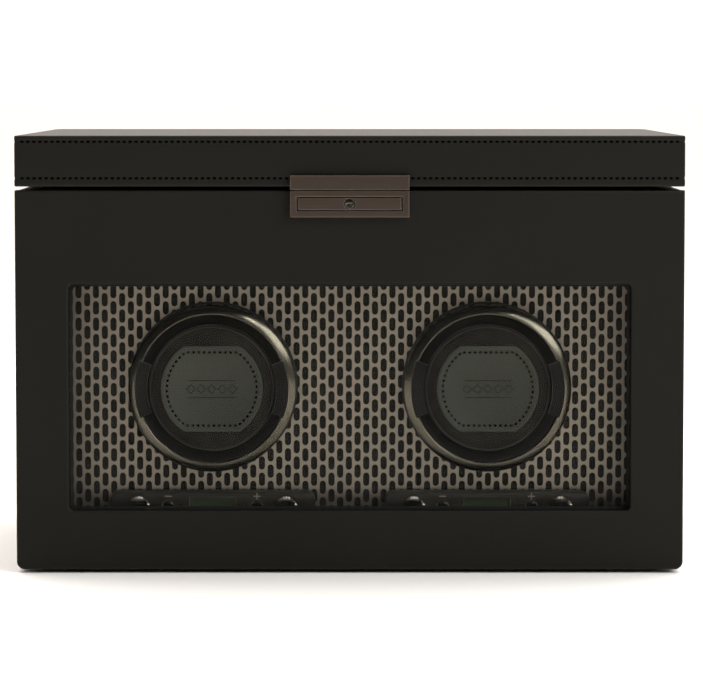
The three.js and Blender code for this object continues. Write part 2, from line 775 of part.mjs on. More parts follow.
// A box behind the fascia, bored for the drum, with a bay for the motor under the bore.
function housing() {
  const front = FASCIA_REAR + GLUE;
  const half = HOUSING_BORE + HOUSING_CHEEK;
  const bottom = BASE_TOP + SLACK - DRUM_HEIGHT;
  const top = HOUSING_BORE + HOUSING_TOP_RIM;
  const bayHalf = half - HOUSING_RIM;
  const bayBottom = bottom + HOUSING_RIM;
  return cut(
    block(-half, front, bottom, half, HOUSING_REAR, top),
    rodY(HOUSING_BORE, front - 1, PLATE_FRONT, FINE),
    block(-bayHalf, front - 1, bayBottom, bayHalf, PLATE_FRONT, bayBottom + MOTOR_BAY_HEIGHT),
    rodY(BUSH_RADIUS + SLACK, PLATE_FRONT - 1, HOUSING_REAR + 1, SMALL),
    rodY(MOTOR_BOSS + SLACK, PLATE_FRONT - 1, HOUSING_REAR + 1, SMALL, 0, -MOTOR_DROP),
  );
}

function drumCup() {
  const hub = BUSH_FLANGE;
  const hubRear = PLATE_FRONT - 3;
  const inside = DRUM_REAR - DRUM_BACK;
  return turned(
    [
      [SPINDLE_RADIUS + SLACK, inside],
      [DRUM_BORE, inside],
      [DRUM_BORE, DRUM_FRONT],
      [DRUM_RADIUS, DRUM_FRONT],
      [DRUM_RADIUS, DRUM_REAR],
      [hub, DRUM_REAR],
      [hub, hubRear],
      [SPINDLE_RADIUS + SLACK, hubRear],
    ],
    FINE,
  );
}

// A polished ring over the drum's rim: a rounded crown in front and a skirt outside the drum.
function drumBezel() {
  const crown = FRONT + BEZEL_FRONT;
  const rear = crown + BEZEL_RISE;
  const skirtRear = crown + BEZEL_DEPTH;
  const skirtBore = BEZEL_RADIUS - BEZEL_WALL;
  const middle = (BEZEL_BORE + BEZEL_RADIUS) / 2;
  const halfWidth = (BEZEL_RADIUS - BEZEL_BORE) / 2;
  const profile = [[BEZEL_BORE, rear]];
  const steps = 5;
  for (let i = 1; i <= steps; i++) {
    const angle = Math.PI * (1 - i / (steps + 1));
    const lift = (BEZEL_RISE - 0.6) * Math.sin(angle) + 0.6;
    profile.push([middle + halfWidth * Math.cos(angle), rear - lift]);
  }
  profile.push([BEZEL_RADIUS, rear]);
  profile.push([BEZEL_RADIUS, skirtRear], [skirtBore, skirtRear], [skirtBore, rear]);
  return turned(profile, FINE);
}

// The drum's shaft, with the pulley that the belt drives.
function drumSpindle() {
  const start = DRUM_REAR - DRUM_BACK - 2;
  const rear = PULLEY_FRONT + PULLEY_WIDTH;
  const grooveFront = PULLEY_FRONT + (PULLEY_WIDTH - BELT_GROOVE) / 2;
  const grooveRear = grooveFront + BELT_GROOVE;
  return turned(
    [
      [0, start],
      [SPINDLE_RADIUS, start],
      [SPINDLE_RADIUS, PULLEY_FRONT],
      [PULLEY_RADIUS, PULLEY_FRONT],
      [PULLEY_RADIUS, grooveFront],
      [PULLEY_GROOVE, grooveFront],
      [PULLEY_GROOVE, grooveRear],
      [PULLEY_RADIUS, grooveRear],
      [PULLEY_RADIUS, rear],
      [0, rear],
    ],
    ROUND,
  );
}

function spindleBush() {
  const bore = SPINDLE_RADIUS + BUSH_CLEARANCE;
  const flangeFront = PLATE_FRONT - 2;
  const seat = PLATE_FRONT - GLUE;
  const rear = HOUSING_REAR + 2;
  return turned(
    [
      [bore, flangeFront],
      [BUSH_FLANGE, flangeFront],
      [BUSH_FLANGE, seat],
      [BUSH_RADIUS, seat],
      [BUSH_RADIUS, rear],
      [bore, rear],
    ],
    SMALL,
  );
}

// A can with two flats and a round boss, mounted inside the housing's back plate.
function motorCan() {
  const rear = PLATE_FRONT - GLUE;
  const front = rear - MOTOR_LENGTH;
  const flat = MOTOR_FLATS / 2;
  const angle = Math.asin(flat / MOTOR_RADIUS);
  const section = new THREE.Shape();
  section.absarc(0, -MOTOR_DROP, MOTOR_RADIUS, -angle, angle);
  section.absarc(0, -MOTOR_DROP, MOTOR_RADIUS, Math.PI - angle, Math.PI + angle);
  const boss = turned(
    [
      [MOTOR_SHAFT_RADIUS + SLACK, rear - 1],
      [MOTOR_BOSS, rear - 1],
      [MOTOR_BOSS, rear + 2.5],
      [MOTOR_SHAFT_RADIUS + SLACK, rear + 2.5],
    ],
    SMALL,
  ).translate(0, 0, -MOTOR_DROP);
  const bore = rodY(MOTOR_SHAFT_RADIUS + SLACK, rear - 8, rear + 3, TINY, 0, -MOTOR_DROP);
  return cut(join(slabXZ(section, front, rear, 8), boss), bore);
}

function motorPulley() {
  const start = PLATE_FRONT - GLUE - 7;
  const rear = PULLEY_FRONT + PULLEY_WIDTH;
  const grooveFront = PULLEY_FRONT + (PULLEY_WIDTH - BELT_GROOVE) / 2;
  const grooveRear = grooveFront + BELT_GROOVE;
  return turned(
    [
      [0, start],
      [MOTOR_SHAFT_RADIUS, start],
      [MOTOR_SHAFT_RADIUS, PULLEY_FRONT],
      [MOTOR_PULLEY_RADIUS, PULLEY_FRONT],
      [MOTOR_PULLEY_RADIUS, grooveFront],
      [MOTOR_PULLEY_GROOVE, grooveFront],
      [MOTOR_PULLEY_GROOVE, grooveRear],
      [MOTOR_PULLEY_RADIUS, grooveRear],
      [MOTOR_PULLEY_RADIUS, rear],
      [0, rear],
    ],
    SMALL,
  ).translate(0, 0, -MOTOR_DROP);
}

// The outline of a loop round both pulleys, at a distance out from each groove.
function beltOutline(out) {
  const big = PULLEY_GROOVE + out;
  const small = MOTOR_PULLEY_GROOVE + out;
  const lean = Math.asin((big - small) / MOTOR_DROP);
  const path = new THREE.Shape();
  path.absarc(0, 0, big, -lean, Math.PI + lean);
  path.absarc(0, -MOTOR_DROP, small, Math.PI + lean, 2 * Math.PI - lean);
  return path;
}

function driveBelt() {
  const middle = PULLEY_FRONT + PULLEY_WIDTH / 2;
  const loop = beltOutline(SLACK + BELT);
  loop.holes.push(beltOutline(SLACK));
  return slabXZ(loop, middle - BELT / 2, middle + BELT / 2, 14);
}

function cuffPillow() {
  const front = FRONT + BEZEL_FRONT + PILLOW_RECESS;
  const widest = front + PILLOW_CROWN;
  const rear = front + PILLOW_DEPTH;
  return turned(
    [
      [0, front],
      [PILLOW_FACE_RADIUS - 3, front + 0.1],
      [PILLOW_FACE_RADIUS + 1.5, front + 1.4],
      [PILLOW_RADIUS - 1.6, front + PILLOW_CROWN * 0.45],
      [PILLOW_RADIUS, widest],
      [PILLOW_RADIUS - 2.8, widest + 6],
      [PILLOW_RADIUS - 3.4, rear - 6],
      [PILLOW_RADIUS - 8, rear],
      [0, rear],
    ],
    FINE,
  );
}

// A leather patch: a disc with its top and bottom cut straight.
function cuffPatch() {
  const rear = FRONT + BEZEL_FRONT + PILLOW_RECESS - GLUE;
  const half = PATCH_HEIGHT / 2;
  const angle = Math.asin(half / PATCH_RADIUS);
  const outline = new THREE.Shape();
  outline.absarc(0, 0, PATCH_RADIUS, -angle, angle);
  outline.absarc(0, 0, PATCH_RADIUS, Math.PI - angle, Math.PI + angle);
  return slabXZ(outline, rear - PATCH, rear, 12);
}

// A sector of a ring about the drum's axis, on the +X or -X side.
function sector(inner, outer, halfAngle, side, y0, y1) {
  const middle = side > 0 ? 0 : Math.PI;
  const shape = new THREE.Shape();
  shape.absarc(0, 0, outer, middle - halfAngle, middle + halfAngle);
  shape.absarc(0, 0, inner, middle + halfAngle, middle - halfAngle, true);
  return slabXZ(shape, y0, y1, 8);
}

// A tab that locks the cuff into the drum: a thumb piece over the bezel's edge and a leg behind it.
function cuffTab(side) {
  const back = FRONT + BEZEL_FRONT - SLACK;
  const half = THREE.MathUtils.degToRad(TAB_HALF_ANGLE);
  const legHalf = THREE.MathUtils.degToRad(TAB_LEG_HALF_ANGLE);
  const legInner = PILLOW_RADIUS + TAB_TRAVEL + TAB_CLEARANCE;
  const legOuter = BEZEL_BORE - TAB_CLEARANCE;
  const face = [PILLOW_RADIUS + SLACK, BEZEL_BORE + TAB_OVERLAP];
  return join(
    sector(...face, half, side, back - TAB_THICKNESS, back),
    sector(legInner, legOuter, legHalf, side, back - TAB_THICKNESS / 2, back + TAB_LEG),
  );
}

function controlPanel() {
  const front = FRONT + PANEL_FRONT;
  const rear = FASCIA_FRONT - GLUE;
  const top = PANEL_TOP - DRUM_HEIGHT;
  const bottom = top - PANEL_HEIGHT;
  const half = PANEL_HALF_WIDTH;
  const flat = half - PANEL_SHOULDER;
  const side = top - PANEL_SHOULDER_DROP;
  const outline = new THREE.Shape();
  outline.moveTo(-half + PANEL_CORNER, bottom);
  outline.lineTo(half - PANEL_CORNER, bottom);
  outline.absarc(half - PANEL_CORNER, bottom + PANEL_CORNER, PANEL_CORNER, -Math.PI / 2, 0);
  outline.lineTo(half, side);
  outline.quadraticCurveTo(half, top, flat, top);
  outline.lineTo(-flat, top);
  outline.quadraticCurveTo(-half, top, -half, side);
  outline.lineTo(-half, bottom + PANEL_CORNER);
  outline.absarc(-half + PANEL_CORNER, bottom + PANEL_CORNER, PANEL_CORNER, Math.PI, Math.PI * 1.5);

  const z = CONTROL_HEIGHT - DRUM_HEIGHT;
  const lcdTop = LCD_TOP - DRUM_HEIGHT;
  const depth = front + CONTROL_SHAFT + 1.5;
  const cuts = [
    block(
      -LCD_WIDTH / 2,
      front - 1,
      lcdTop - LCD_HEIGHT,
      LCD_WIDTH / 2,
      front + LCD_RECESS + LCD + SLACK,
      lcdTop,
    ),
  ];
  for (const sign of [-1, 1]) {
    cuts.push(
      rodY(KNOB_SHAFT_RADIUS + SLACK, front - 1, depth, SMALL, sign * KNOB_X, z),
      rodY(BUTTON_RADIUS + SLACK, front - 1, depth, SMALL, sign * BUTTON_X, z),
    );
  }
  return cut(slabXZ(outline, front, rear, 8), ...cuts);
}

function lcdWindow() {
  const front = FRONT + PANEL_FRONT + LCD_RECESS;
  const top = LCD_TOP - DRUM_HEIGHT - SLACK;
  const half = LCD_WIDTH / 2 - SLACK;
  return block(-half, front, top - LCD_HEIGHT + 2 * SLACK, half, front + LCD, top);
}

// A turned cap in front of the panel, on a shaft that goes into it.
function knob(x) {
  const panel = FRONT + PANEL_FRONT;
  const seat = panel - SLACK;
  return turned(
    [
      [0, seat - KNOB_PROUD],
      [KNOB_RADIUS - 0.8, seat - KNOB_PROUD],
      [KNOB_RADIUS, seat - KNOB_PROUD + 0.8],
      [KNOB_RADIUS, seat],
      [KNOB_SHAFT_RADIUS, seat],
      [KNOB_SHAFT_RADIUS, panel + CONTROL_SHAFT],
      [0, panel + CONTROL_SHAFT],
    ],
    SMALL,
  ).translate(x, 0, CONTROL_HEIGHT - DRUM_HEIGHT);
}

function button(x) {
  const panel = FRONT + PANEL_FRONT;
  return turned(
    [
      [0, panel - BUTTON_PROUD],
      [BUTTON_RADIUS - 0.5, panel - BUTTON_PROUD],
      [BUTTON_RADIUS, panel - BUTTON_PROUD + 0.5],
      [BUTTON_RADIUS, panel + CONTROL_SHAFT],
      [0, panel + CONTROL_SHAFT],
    ],
    SMALL,
  ).translate(x, 0, CONTROL_HEIGHT - DRUM_HEIGHT);
}

// ---------------------------------------------------------------- the whole object

const winderBox = new THREE.Group();
winderBox.add(
  makeCase(),
  makeStorage(),
  makeFascia(),
  makeDoor(),
  makeDoorPivots(),
  makeLid(),
  makeLidHinge(),
  makeLatch(),
  makeModule("left"),
  makeModule("right"),
);

export default winderBox;
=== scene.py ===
# %% [markdown]
# # A watch winder box
#
# The box is covered in dark leather. Its lid is hinged at the back, its front is a drop-down door
# with a glass window, and two winder drums turn behind the window. The CAD model gives the frame:
# every size and place below is read from its pieces, and each piece made here moves with one of
# its bodies. Lengths are in metres, +X is right, +Y is towards the back and +Z is up.

import json
import math

import bmesh
import bpy
from mathutils import Matrix, Vector, noise


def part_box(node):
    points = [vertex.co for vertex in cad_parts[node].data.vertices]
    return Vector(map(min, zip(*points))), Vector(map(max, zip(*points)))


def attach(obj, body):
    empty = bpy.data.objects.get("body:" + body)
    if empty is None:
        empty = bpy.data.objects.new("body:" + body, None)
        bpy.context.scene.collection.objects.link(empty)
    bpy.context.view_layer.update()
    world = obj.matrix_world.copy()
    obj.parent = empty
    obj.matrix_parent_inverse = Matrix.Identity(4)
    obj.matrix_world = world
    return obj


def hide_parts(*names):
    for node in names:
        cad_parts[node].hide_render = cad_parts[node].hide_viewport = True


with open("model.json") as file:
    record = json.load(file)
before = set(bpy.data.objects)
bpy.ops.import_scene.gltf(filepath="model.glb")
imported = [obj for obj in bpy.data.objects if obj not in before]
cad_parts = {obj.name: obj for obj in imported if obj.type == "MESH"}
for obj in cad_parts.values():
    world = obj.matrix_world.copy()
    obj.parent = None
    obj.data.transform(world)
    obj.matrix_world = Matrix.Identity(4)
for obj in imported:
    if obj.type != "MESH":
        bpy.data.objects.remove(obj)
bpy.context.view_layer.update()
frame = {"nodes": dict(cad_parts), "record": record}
MM = 0.001
SIDES = ("left", "right")

# %% [markdown]
# ## Camera
#
# A long lens a little above the lid looks almost level at the front, so upright edges stay nearly
# parallel. A small shift of the lens puts the box in the middle of the frame.

# %% Camera
CAMERA_DISTANCE = 1569 * MM
CAMERA_HEIGHT = 251.6 * MM
LENS = 157.7
TILT = math.radians(3.454)

door_low, door_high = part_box("door_panel")
camera_data = bpy.data.cameras.new("studio_camera")
camera_data.lens = LENS
camera_data.sensor_width = 36
camera_data.shift_x = -0.005
camera_data.shift_y = -0.1
camera = bpy.data.objects.new("studio_camera", camera_data)
camera.location = (2.7 * MM, door_low.y - CAMERA_DISTANCE, CAMERA_HEIGHT)
camera.rotation_euler = (math.radians(90) - TILT, 0, 0)
bpy.context.scene.collection.objects.link(camera)
bpy.context.scene.camera = camera
print("camera at", tuple(round(v, 3) for v in camera.location))

# %% [markdown]
# ## Studio
#
# The floor and the room are pale, and the room is brighter behind the box than in front of it. A
# softbox high on the right draws the light on the rings, a large one overhead fills in, and a
# small lamp puts the sparkle on the knobs. The bright room behind gives the lid's top its sheen,
# and the dim side in front keeps the dark leather dark.


# %% Colour and node helpers
def linear(hex_colour, alpha=1.0):
    """A shader colour from an sRGB hex string."""
    parts = [int(hex_colour[i : i + 2], 16) / 255 for i in (1, 3, 5)]
    flat = [c / 12.92 if c <= 0.04045 else ((c + 0.055) / 1.055) ** 2.4 for c in parts]
    return (*flat, alpha)


def add_node(tree, kind, inputs=None, **settings):
    """Adds a shader node. An input takes a value, or another node's output to link from."""
    node = tree.nodes.new("ShaderNode" + kind)
    for key, value in settings.items():
        setattr(node, key, value)
    for socket, value in (inputs or {}).items():
        if isinstance(value, bpy.types.NodeSocket):
            tree.links.new(value, node.inputs[socket])
        else:
            node.inputs[socket].default_value = value
    return node


def mix_tones(tree, share, first, second):
    """Mixes two colours, each an sRGB hex string, a colour, or another node's output."""
    first, second = (linear(c) if isinstance(c, str) else c for c in (first, second))
    mixed = add_node(tree, "Mix", {0: share, 6: first, 7: second}, data_type="RGBA")
    return mixed.outputs[2]


def per_mm(size_mm):
    """The texture scale that repeats a pattern every size_mm millimetres."""
    return 1000 / size_mm


def cloudy(tree, place, size_mm, detail):
    """Soft noise of a size in millimetres, from 0 to 1."""
    settings = {"Vector": place, "Scale": per_mm(size_mm), "Detail": detail}
    return add_node(tree, "TexNoise", settings).outputs[0]


def remap(tree, value, **ends):
    """Moves a value from one range to another, with _ in place of a space in their names."""
    inputs = {"Value": value} | {end.replace("_", " "): number for end, number in ends.items()}
    return add_node(tree, "MapRange", inputs).outputs[0]


def calculate(tree, operation, *values):
    """The result of a product or the like, on numbers or other nodes' outputs."""
    return add_node(tree, "Math", dict(enumerate(values)), operation=operation).outputs[0]


def raised(tree, height, strength, depth_mm):
    """A bump that stands depth_mm high where height is 1."""
    settings = {"Strength": strength, "Distance": depth_mm * MM, "Height": height}
    return add_node(tree, "Bump", settings).outputs[0]


def dress(tree, shader, **sources):
    """Links node outputs to the shader's inputs, with _ in place of a space."""
    for socket, source in sources.items():
        tree.links.new(source, shader.inputs[socket.replace("_", " ")])


# %% World, floor and lights
WARM_BACKDROP = (1.43, 1.3, 1.21, 1.0)
CEILING_BOOST = 1.1


def light_studio():
    world = bpy.data.worlds.new("studio_room")
    world.use_nodes = True
    tree = world.node_tree
    tree.nodes.clear()
    where = add_node(tree, "TexCoord")
    axes = add_node(tree, "SeparateXYZ", {0: where.outputs["Generated"]})
    towards_back = remap(tree, axes.outputs["Y"], From_Min=-0.35, From_Max=0.3)
    towards_right = remap(tree, axes.outputs["X"], From_Min=-0.3, From_Max=0.55)
    front = mix_tones(tree, towards_right, "#1d1d18", "#807c73")
    tone = mix_tones(tree, towards_back, front, WARM_BACKDROP)
    overhead = remap(tree, axes.outputs["Z"], From_Min=0.3, From_Max=0.8)
    ceiling = calculate(tree, "MULTIPLY", overhead, towards_back)
    strength = calculate(tree, "MULTIPLY_ADD", ceiling, CEILING_BOOST, 1.0)
    room = add_node(tree, "Background", {0: tone, 1: strength})
    add_node(tree, "OutputWorld", {0: room.outputs[0]})
    bpy.context.scene.world = world


def add_softbox(name, location, size, watts, aim):
    data = bpy.data.lights.new(name, "AREA")
    data.shape = "RECTANGLE"
    data.size, data.size_y = size
    data.energy = watts
    lamp = bpy.data.objects.new(name, data)
    lamp.location = location
    lamp.rotation_euler = (Vector(aim) - Vector(location)).to_track_quat("-Z", "Y").to_euler()
    bpy.context.scene.collection.objects.link(lamp)
    return lamp


light_studio()
add_softbox("key_softbox", (1.7, -1.6, 1.5), (1.5, 1.5), 50, (0, 0, 0.1))
add_softbox("sparkle_lamp", (0.5, -1.2, 1.1), (0.12, 0.12), 2.2, (0, 0, 0.1))
add_softbox("top_softbox", (0, 0.4, 2.2), (3.2, 2.4), 40, (0, 0.2, 0))
bpy.context.scene.view_settings.view_transform = "Standard"

# %% [markdown]
# ## Finishes
#
# Each finish starts from the real material: what it is made of, how its surface was made, and
# what that gives the eye. Pattern sizes are real sizes in millimetres, or as coarse as they need
# to be to show.


# %% Material helper
def new_finish(name):
    """A material with only its output and a Principled shader, and its Object coordinates."""
    material = bpy.data.materials.new(name)
    material.use_nodes = True
    tree = material.node_tree
    tree.nodes.clear()
    shader = add_node(tree, "BsdfPrincipled")
    add_node(tree, "OutputMaterial", {0: shader.outputs[0]})
    where = add_node(tree, "TexCoord")
    return material, tree, shader, where.outputs["Object"]


def set_shader(shader, **values):
    for socket, value in values.items():
        shader.inputs[socket.replace("_", " ")].default_value = value


# %% [markdown]
# **Bonded leather.** The case, door and lid are wrapped in bonded leather with a finely pebbled
# print and a matt polyurethane top coat: a soft, low sheen that lifts at a glancing angle. The
# pebbles of about half a millimetre are drawn at 1.1 mm so that they show.


# %% Leather finishes
def with_worn_and_highlit_edges(tree, tone, edge_wear_and_highlight, radius):
    """Mixes a paler tone into outer edges: wear where hands and cloths rub leather, a painted
    highlight on metal and plastic.
    """
    rounded = add_node(tree, "Bevel", {"Radius": radius}, samples=4)
    true = add_node(tree, "NewGeometry")
    pair = {0: rounded.outputs[0], 1: true.outputs["Normal"]}
    same = add_node(tree, "VectorMath", pair, operation="DOT_PRODUCT")
    edges = remap(tree, same.outputs["Value"], From_Min=0.998, From_Max=0.9)
    return mix_tones(tree, edges, tone, edge_wear_and_highlight)


def leather_finish(name, dark, light, edge_wear_and_highlight, pebble_mm, bump, roughness, specular):
    material, tree, shader, place = new_finish(name)
    clouds = cloudy(tree, place, 55, 5.0)
    grain = add_node(tree, "TexVoronoi", {"Vector": place, "Scale": per_mm(pebble_mm)})
    creases = cloudy(tree, place, pebble_mm * 4, 6.0)
    tone = mix_tones(tree, clouds, dark, light)
    worn = with_worn_and_highlit_edges(tree, tone, edge_wear_and_highlight, 1.2 * MM)
    height = calculate(tree, "MULTIPLY", grain.outputs[0], creases)
    pebbles = raised(tree, height, bump, 0.15)
    gloss = remap(tree, creases, To_Min=roughness - 0.06, To_Max=roughness + 0.08)
    dress(tree, shader, Base_Color=worn, Roughness=gloss, Normal=pebbles)
    set_shader(shader, Specular_IOR_Level=specular, Specular_Tint=linear("#f8f0e4"))
    return material


case_leather = leather_finish(
    "bonded_leather_case", "#111210", "#171815", "#23231e", 1.1, 0.3, 0.42, 0.12
)
patch_leather = leather_finish(
    "calf_leather_patch", "#30342e", "#40443c", "#4d5047", 0.9, 0.5, 0.45, 0.25
)
tooled_leather = leather_finish(
    "tooled_calf_leather", "#10110f", "#191a17", "#22231f", 0.9, 0.3, 0.5, 0.2
)
cushion_leather = leather_finish(
    "nappa_leather_cushion", "#1e1e1b", "#272722", "#33322c", 0.9, 0.3, 0.45, 0.35
)

# %% [markdown]
# **Microfibre suede.** A short, brushed polyester nap lines the tray and the lid and covers the
# cuffs. The nap lies in patches that lean different ways, so the cloth looks softly mottled, and
# it has a sheen at its edges.


# %% Suede, felt and thread
def nap_finish(name, dark, light, patch_mm, sheen, bump):
    material, tree, shader, place = new_finish(name)
    patches = cloudy(tree, place, patch_mm, 3.0)
    fibres = cloudy(tree, place, 0.7, 2.0)
    spread = remap(tree, patches, From_Min=0.3, From_Max=0.7)
    tone = mix_tones(tree, spread, dark, light)
    dress(tree, shader, Base_Color=tone, Normal=raised(tree, fibres, bump, 0.2))
    set_shader(shader, Roughness=0.95, Specular_IOR_Level=0.2, Sheen_Weight=sheen)
    return material


cuff_suede = nap_finish("microfibre_suede_cuff", "#11100c", "#25221b", 11, 0.04, 0.5)
lining_suede = nap_finish("microfibre_suede_lining", "#2a2722", "#37332d", 22, 0.2, 0.5)
base_felt = nap_finish("wool_felt_base", "#0b0b0a", "#151513", 6, 0.1, 0.8)
dark_scrim = nap_finish("black_scrim_cloth", "#171610", "#1f1e17", 5, 0.0, 0.5)
black_thread = nap_finish("waxed_polyester_thread", "#000000", "#030302", 3, 0.0, 0.3)
set_shader(black_thread.node_tree.nodes["Principled BSDF"], Specular_IOR_Level=0.02)

# %% [markdown]
# **Metals.** The latch is zinc with a brown gunmetal PVD coat over a fine satin brushing. The
# drum bezels are aluminium, polished and plated in a dark chrome. The fascia is perforated
# aluminium sheet, anodised in a warm champagne grey over a bead-blasted surface.


# %% Metal finishes
def metal_finish(name, dark, light, roughness, metallic, stretch, bump, edge_wear_and_highlight=None):
    """stretch is the grain's length along X, Y and Z in millimetres."""
    material, tree, shader, place = new_finish(name)
    grain_space = add_node(
        tree, "Mapping", {"Vector": place, "Scale": tuple(per_mm(mm) for mm in stretch)}
    )
    grain = cloudy(tree, grain_space.outputs[0], 1000, 4.0)
    tone = mix_tones(tree, grain, dark, light)
    gloss = remap(tree, grain, To_Min=roughness - 0.05, To_Max=roughness + 0.07)
    # The paler edge tone paints a highlight along the bevels; on the latch it is partly wear too.
    if edge_wear_and_highlight:
        tone = with_worn_and_highlit_edges(tree, tone, edge_wear_and_highlight, 0.5 * MM)
    scratches = raised(tree, grain, bump, 0.02)
    dress(tree, shader, Base_Color=tone, Roughness=gloss, Normal=scratches)
    set_shader(shader, Metallic=metallic)
    return material


# The latch's pale edge tone is a painted highlight, and partly wear.
gunmetal = metal_finish(
    "gunmetal_pvd_satin", "#3f3833", "#4a423c", 0.36, 1.0, (9, 0.6, 0.6), 0.3, "#8a7e74"
)
dark_chrome = metal_finish("dark_chrome_polished", "#615d51", "#6c685b", 0.2, 1.0, (6, 6, 6), 0.05)
# The key's pale edge tone paints glints along its edges.
black_chrome = metal_finish(
    "black_chrome_key", "#24221f", "#2e2b27", 0.16, 1.0, (3, 3, 3), 0.05, "#8f8a82"
)
champagne = metal_finish(
    "champagne_anodised_aluminium", "#968e80", "#a59c8d", 0.4, 0.95, (0.8, 0.8, 0.8), 0.5
)
mild_steel = metal_finish("zinc_plated_steel", "#9a9a98", "#b4b4b2", 0.35, 1.0, (2, 2, 2), 0.3)
# The knob's pale edge tone paints the bright glints on its flutes.
knob_chrome = metal_finish(
    "black_chrome_knob", "#4c4942", "#5e5a52", 0.14, 1.0, (4, 4, 4), 0.05, "#c4beb2"
)
turned_brass = metal_finish("turned_brass", "#a98546", "#c09a58", 0.32, 1.0, (0.5, 4, 0.5), 0.3)

# %% [markdown]
# **Plastics.** The control panels are ABS with a spark-eroded satin texture; knobs and buttons are
# polished black ABS. The display is an unlit liquid-crystal cell behind acrylic, which looks
# grey-green. The window is float glass: nearly invisible but for a slight tint and its gloss.


# %% Plastic and glass finishes
def plastic_finish(name, dark, light, roughness, texture_mm, bump, specular=0.5, edge_wear_and_highlight=None):
    material, tree, shader, place = new_finish(name)
    texture = cloudy(tree, place, texture_mm, 3.0)
    tone = mix_tones(tree, texture, dark, light)
    # The paler edge tone paints a highlight along the moulding's edges.
    if edge_wear_and_highlight:
        tone = with_worn_and_highlit_edges(tree, tone, edge_wear_and_highlight, 0.6 * MM)
    dress(tree, shader, Base_Color=tone, Normal=raised(tree, texture, bump, 0.05))
    set_shader(shader, Roughness=roughness, Specular_IOR_Level=specular)
    return material


# The panel's pale edge tone paints the highlight along its edges.
panel_abs = plastic_finish("abs_panel_satin", "#15150e", "#1e1d15", 0.34, 0.6, 0.2, 0.45, "#6d6a5e")
gloss_abs = plastic_finish("abs_knob_polished", "#060605", "#0b0b0a", 0.1, 3, 0.05, 0.45)
black_abs = plastic_finish("abs_moulded_black", "#10100e", "#181815", 0.42, 0.8, 0.25)
# The tabs' pale edge tone paints thin highlights along their edges.
tab_abs = plastic_finish("abs_cuff_tab", "#050504", "#080806", 0.3, 6, 0.03, 0.12, "#33332c")
belt_rubber = plastic_finish("neoprene_belt", "#0b0b0b", "#131312", 0.8, 0.7, 0.4, 0.3)
lcd_cell = plastic_finish("liquid_crystal_cell", "#36422f", "#404c37", 0.14, 9, 0.0, 0.3)
mark_ink = plastic_finish("pad_printed_ink", "#8a877a", "#97938a", 0.6, 1.5, 0.1, 0.3)


def float_glass_finish():
    material, tree, shader, place = new_finish("float_glass_window")
    ripple = cloudy(tree, place, 120, 1.0)
    dress(tree, shader, Normal=raised(tree, ripple, 0.03, 0.1))
    set_shader(
        shader, Base_Color=linear("#0a0b07"), Roughness=0.03, Alpha=0.13, Specular_IOR_Level=0.25
    )
    return material


window_glass = float_glass_finish()
floor_paint, _, floor_shader, _ = new_finish("pale_floor")
set_shader(floor_shader, Base_Color=linear("#f4f3f1"), Roughness=0.7, Specular_IOR_Level=0.2)
print("finishes:", len(bpy.data.materials))

# %% [markdown]
# ## Modelling helpers
#
# Pieces are modelled in bmesh, which works on a mesh directly and needs no selection. A finished
# piece keeps its object at the origin and its place in its mesh, as the CAD pieces do.


# %% Piece helpers
def even_shading(piece):
    """Lets large flat faces shade flat, with the turn of the light kept to the narrow bevels."""
    weigh = piece.modifiers.new("even_shading", "WEIGHTED_NORMAL")
    weigh.keep_sharp = True
    return piece


def make_object(bm, name):
    """Turns a bmesh into an object in the scene."""
    mesh = bpy.data.meshes.new(name)
    bm.to_mesh(mesh)
    bm.free()
    made = bpy.data.objects.new(name, mesh)
    bpy.context.scene.collection.objects.link(made)
    return made


def finish_piece(bm, name, material, body, replaces=(), sharp=35):
    """Makes the bmesh an object that rides on a body and may stand for CAD nodes."""
    piece = make_object(bm, name)
    piece.data.shade_smooth()
    piece.data.set_sharp_from_angle(angle=math.radians(sharp))
    piece.data.materials.append(material)
    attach(piece, body)
    if replaces:
        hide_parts(*replaces)
    return piece


def bevel_edges(bm, edges, width, segments=3):
    bmesh.ops.bevel(
        bm,
        geom=edges,
        offset=width,
        offset_type="OFFSET",
        segments=segments,
        profile=0.5,
        affect="EDGES",
        material=-1,
    )


def points_in(geometry):
    """The points among the items that a bmesh operation gave back."""
    return [item for item in geometry if isinstance(item, bmesh.types.BMVert)]


def slice_through(bm, place, facing, trim=False):
    """Cuts all faces along a plane, and may trim off what it faces."""
    everything = bm.verts[:] + bm.edges[:] + bm.faces[:]
    bmesh.ops.bisect_plane(bm, geom=everything, plane_co=place, plane_no=facing, clear_outer=trim)


def thicken(bm, thickness):
    """Turns a flat sheet to the front and gives it a thickness."""
    bmesh.ops.recalc_face_normals(bm, faces=bm.faces)
    if bm.faces[0].normal.y > 0:
        bmesh.ops.reverse_faces(bm, faces=bm.faces)
    bmesh.ops.solidify(bm, geom=bm.faces[:], thickness=thickness)


def take_in(bm, other):
    """Adds another bmesh's faces to the first, and frees the other."""
    mesh = bpy.data.meshes.new("taken_in")
    other.to_mesh(mesh)
    other.free()
    bm.from_mesh(mesh)


def start_box(low, high):
    """A bmesh box between two corners."""
    bm = bmesh.new()
    low, high = Vector(low), Vector(high)
    bmesh.ops.create_cube(bm, size=1)
    bmesh.ops.scale(bm, vec=high - low, verts=bm.verts)
    bmesh.ops.translate(bm, vec=(low + high) / 2, verts=bm.verts)
    return bm


def start_rounded_box(low, high, radius, segments=3):
    bm = start_box(low, high)
    bevel_edges(bm, bm.edges[:], radius, segments)
    return bm


def apply_modifiers(piece):
    now = bpy.context.evaluated_depsgraph_get()
    piece.data = bpy.data.meshes.new_from_object(piece.evaluated_get(now))
    piece.modifiers.clear()


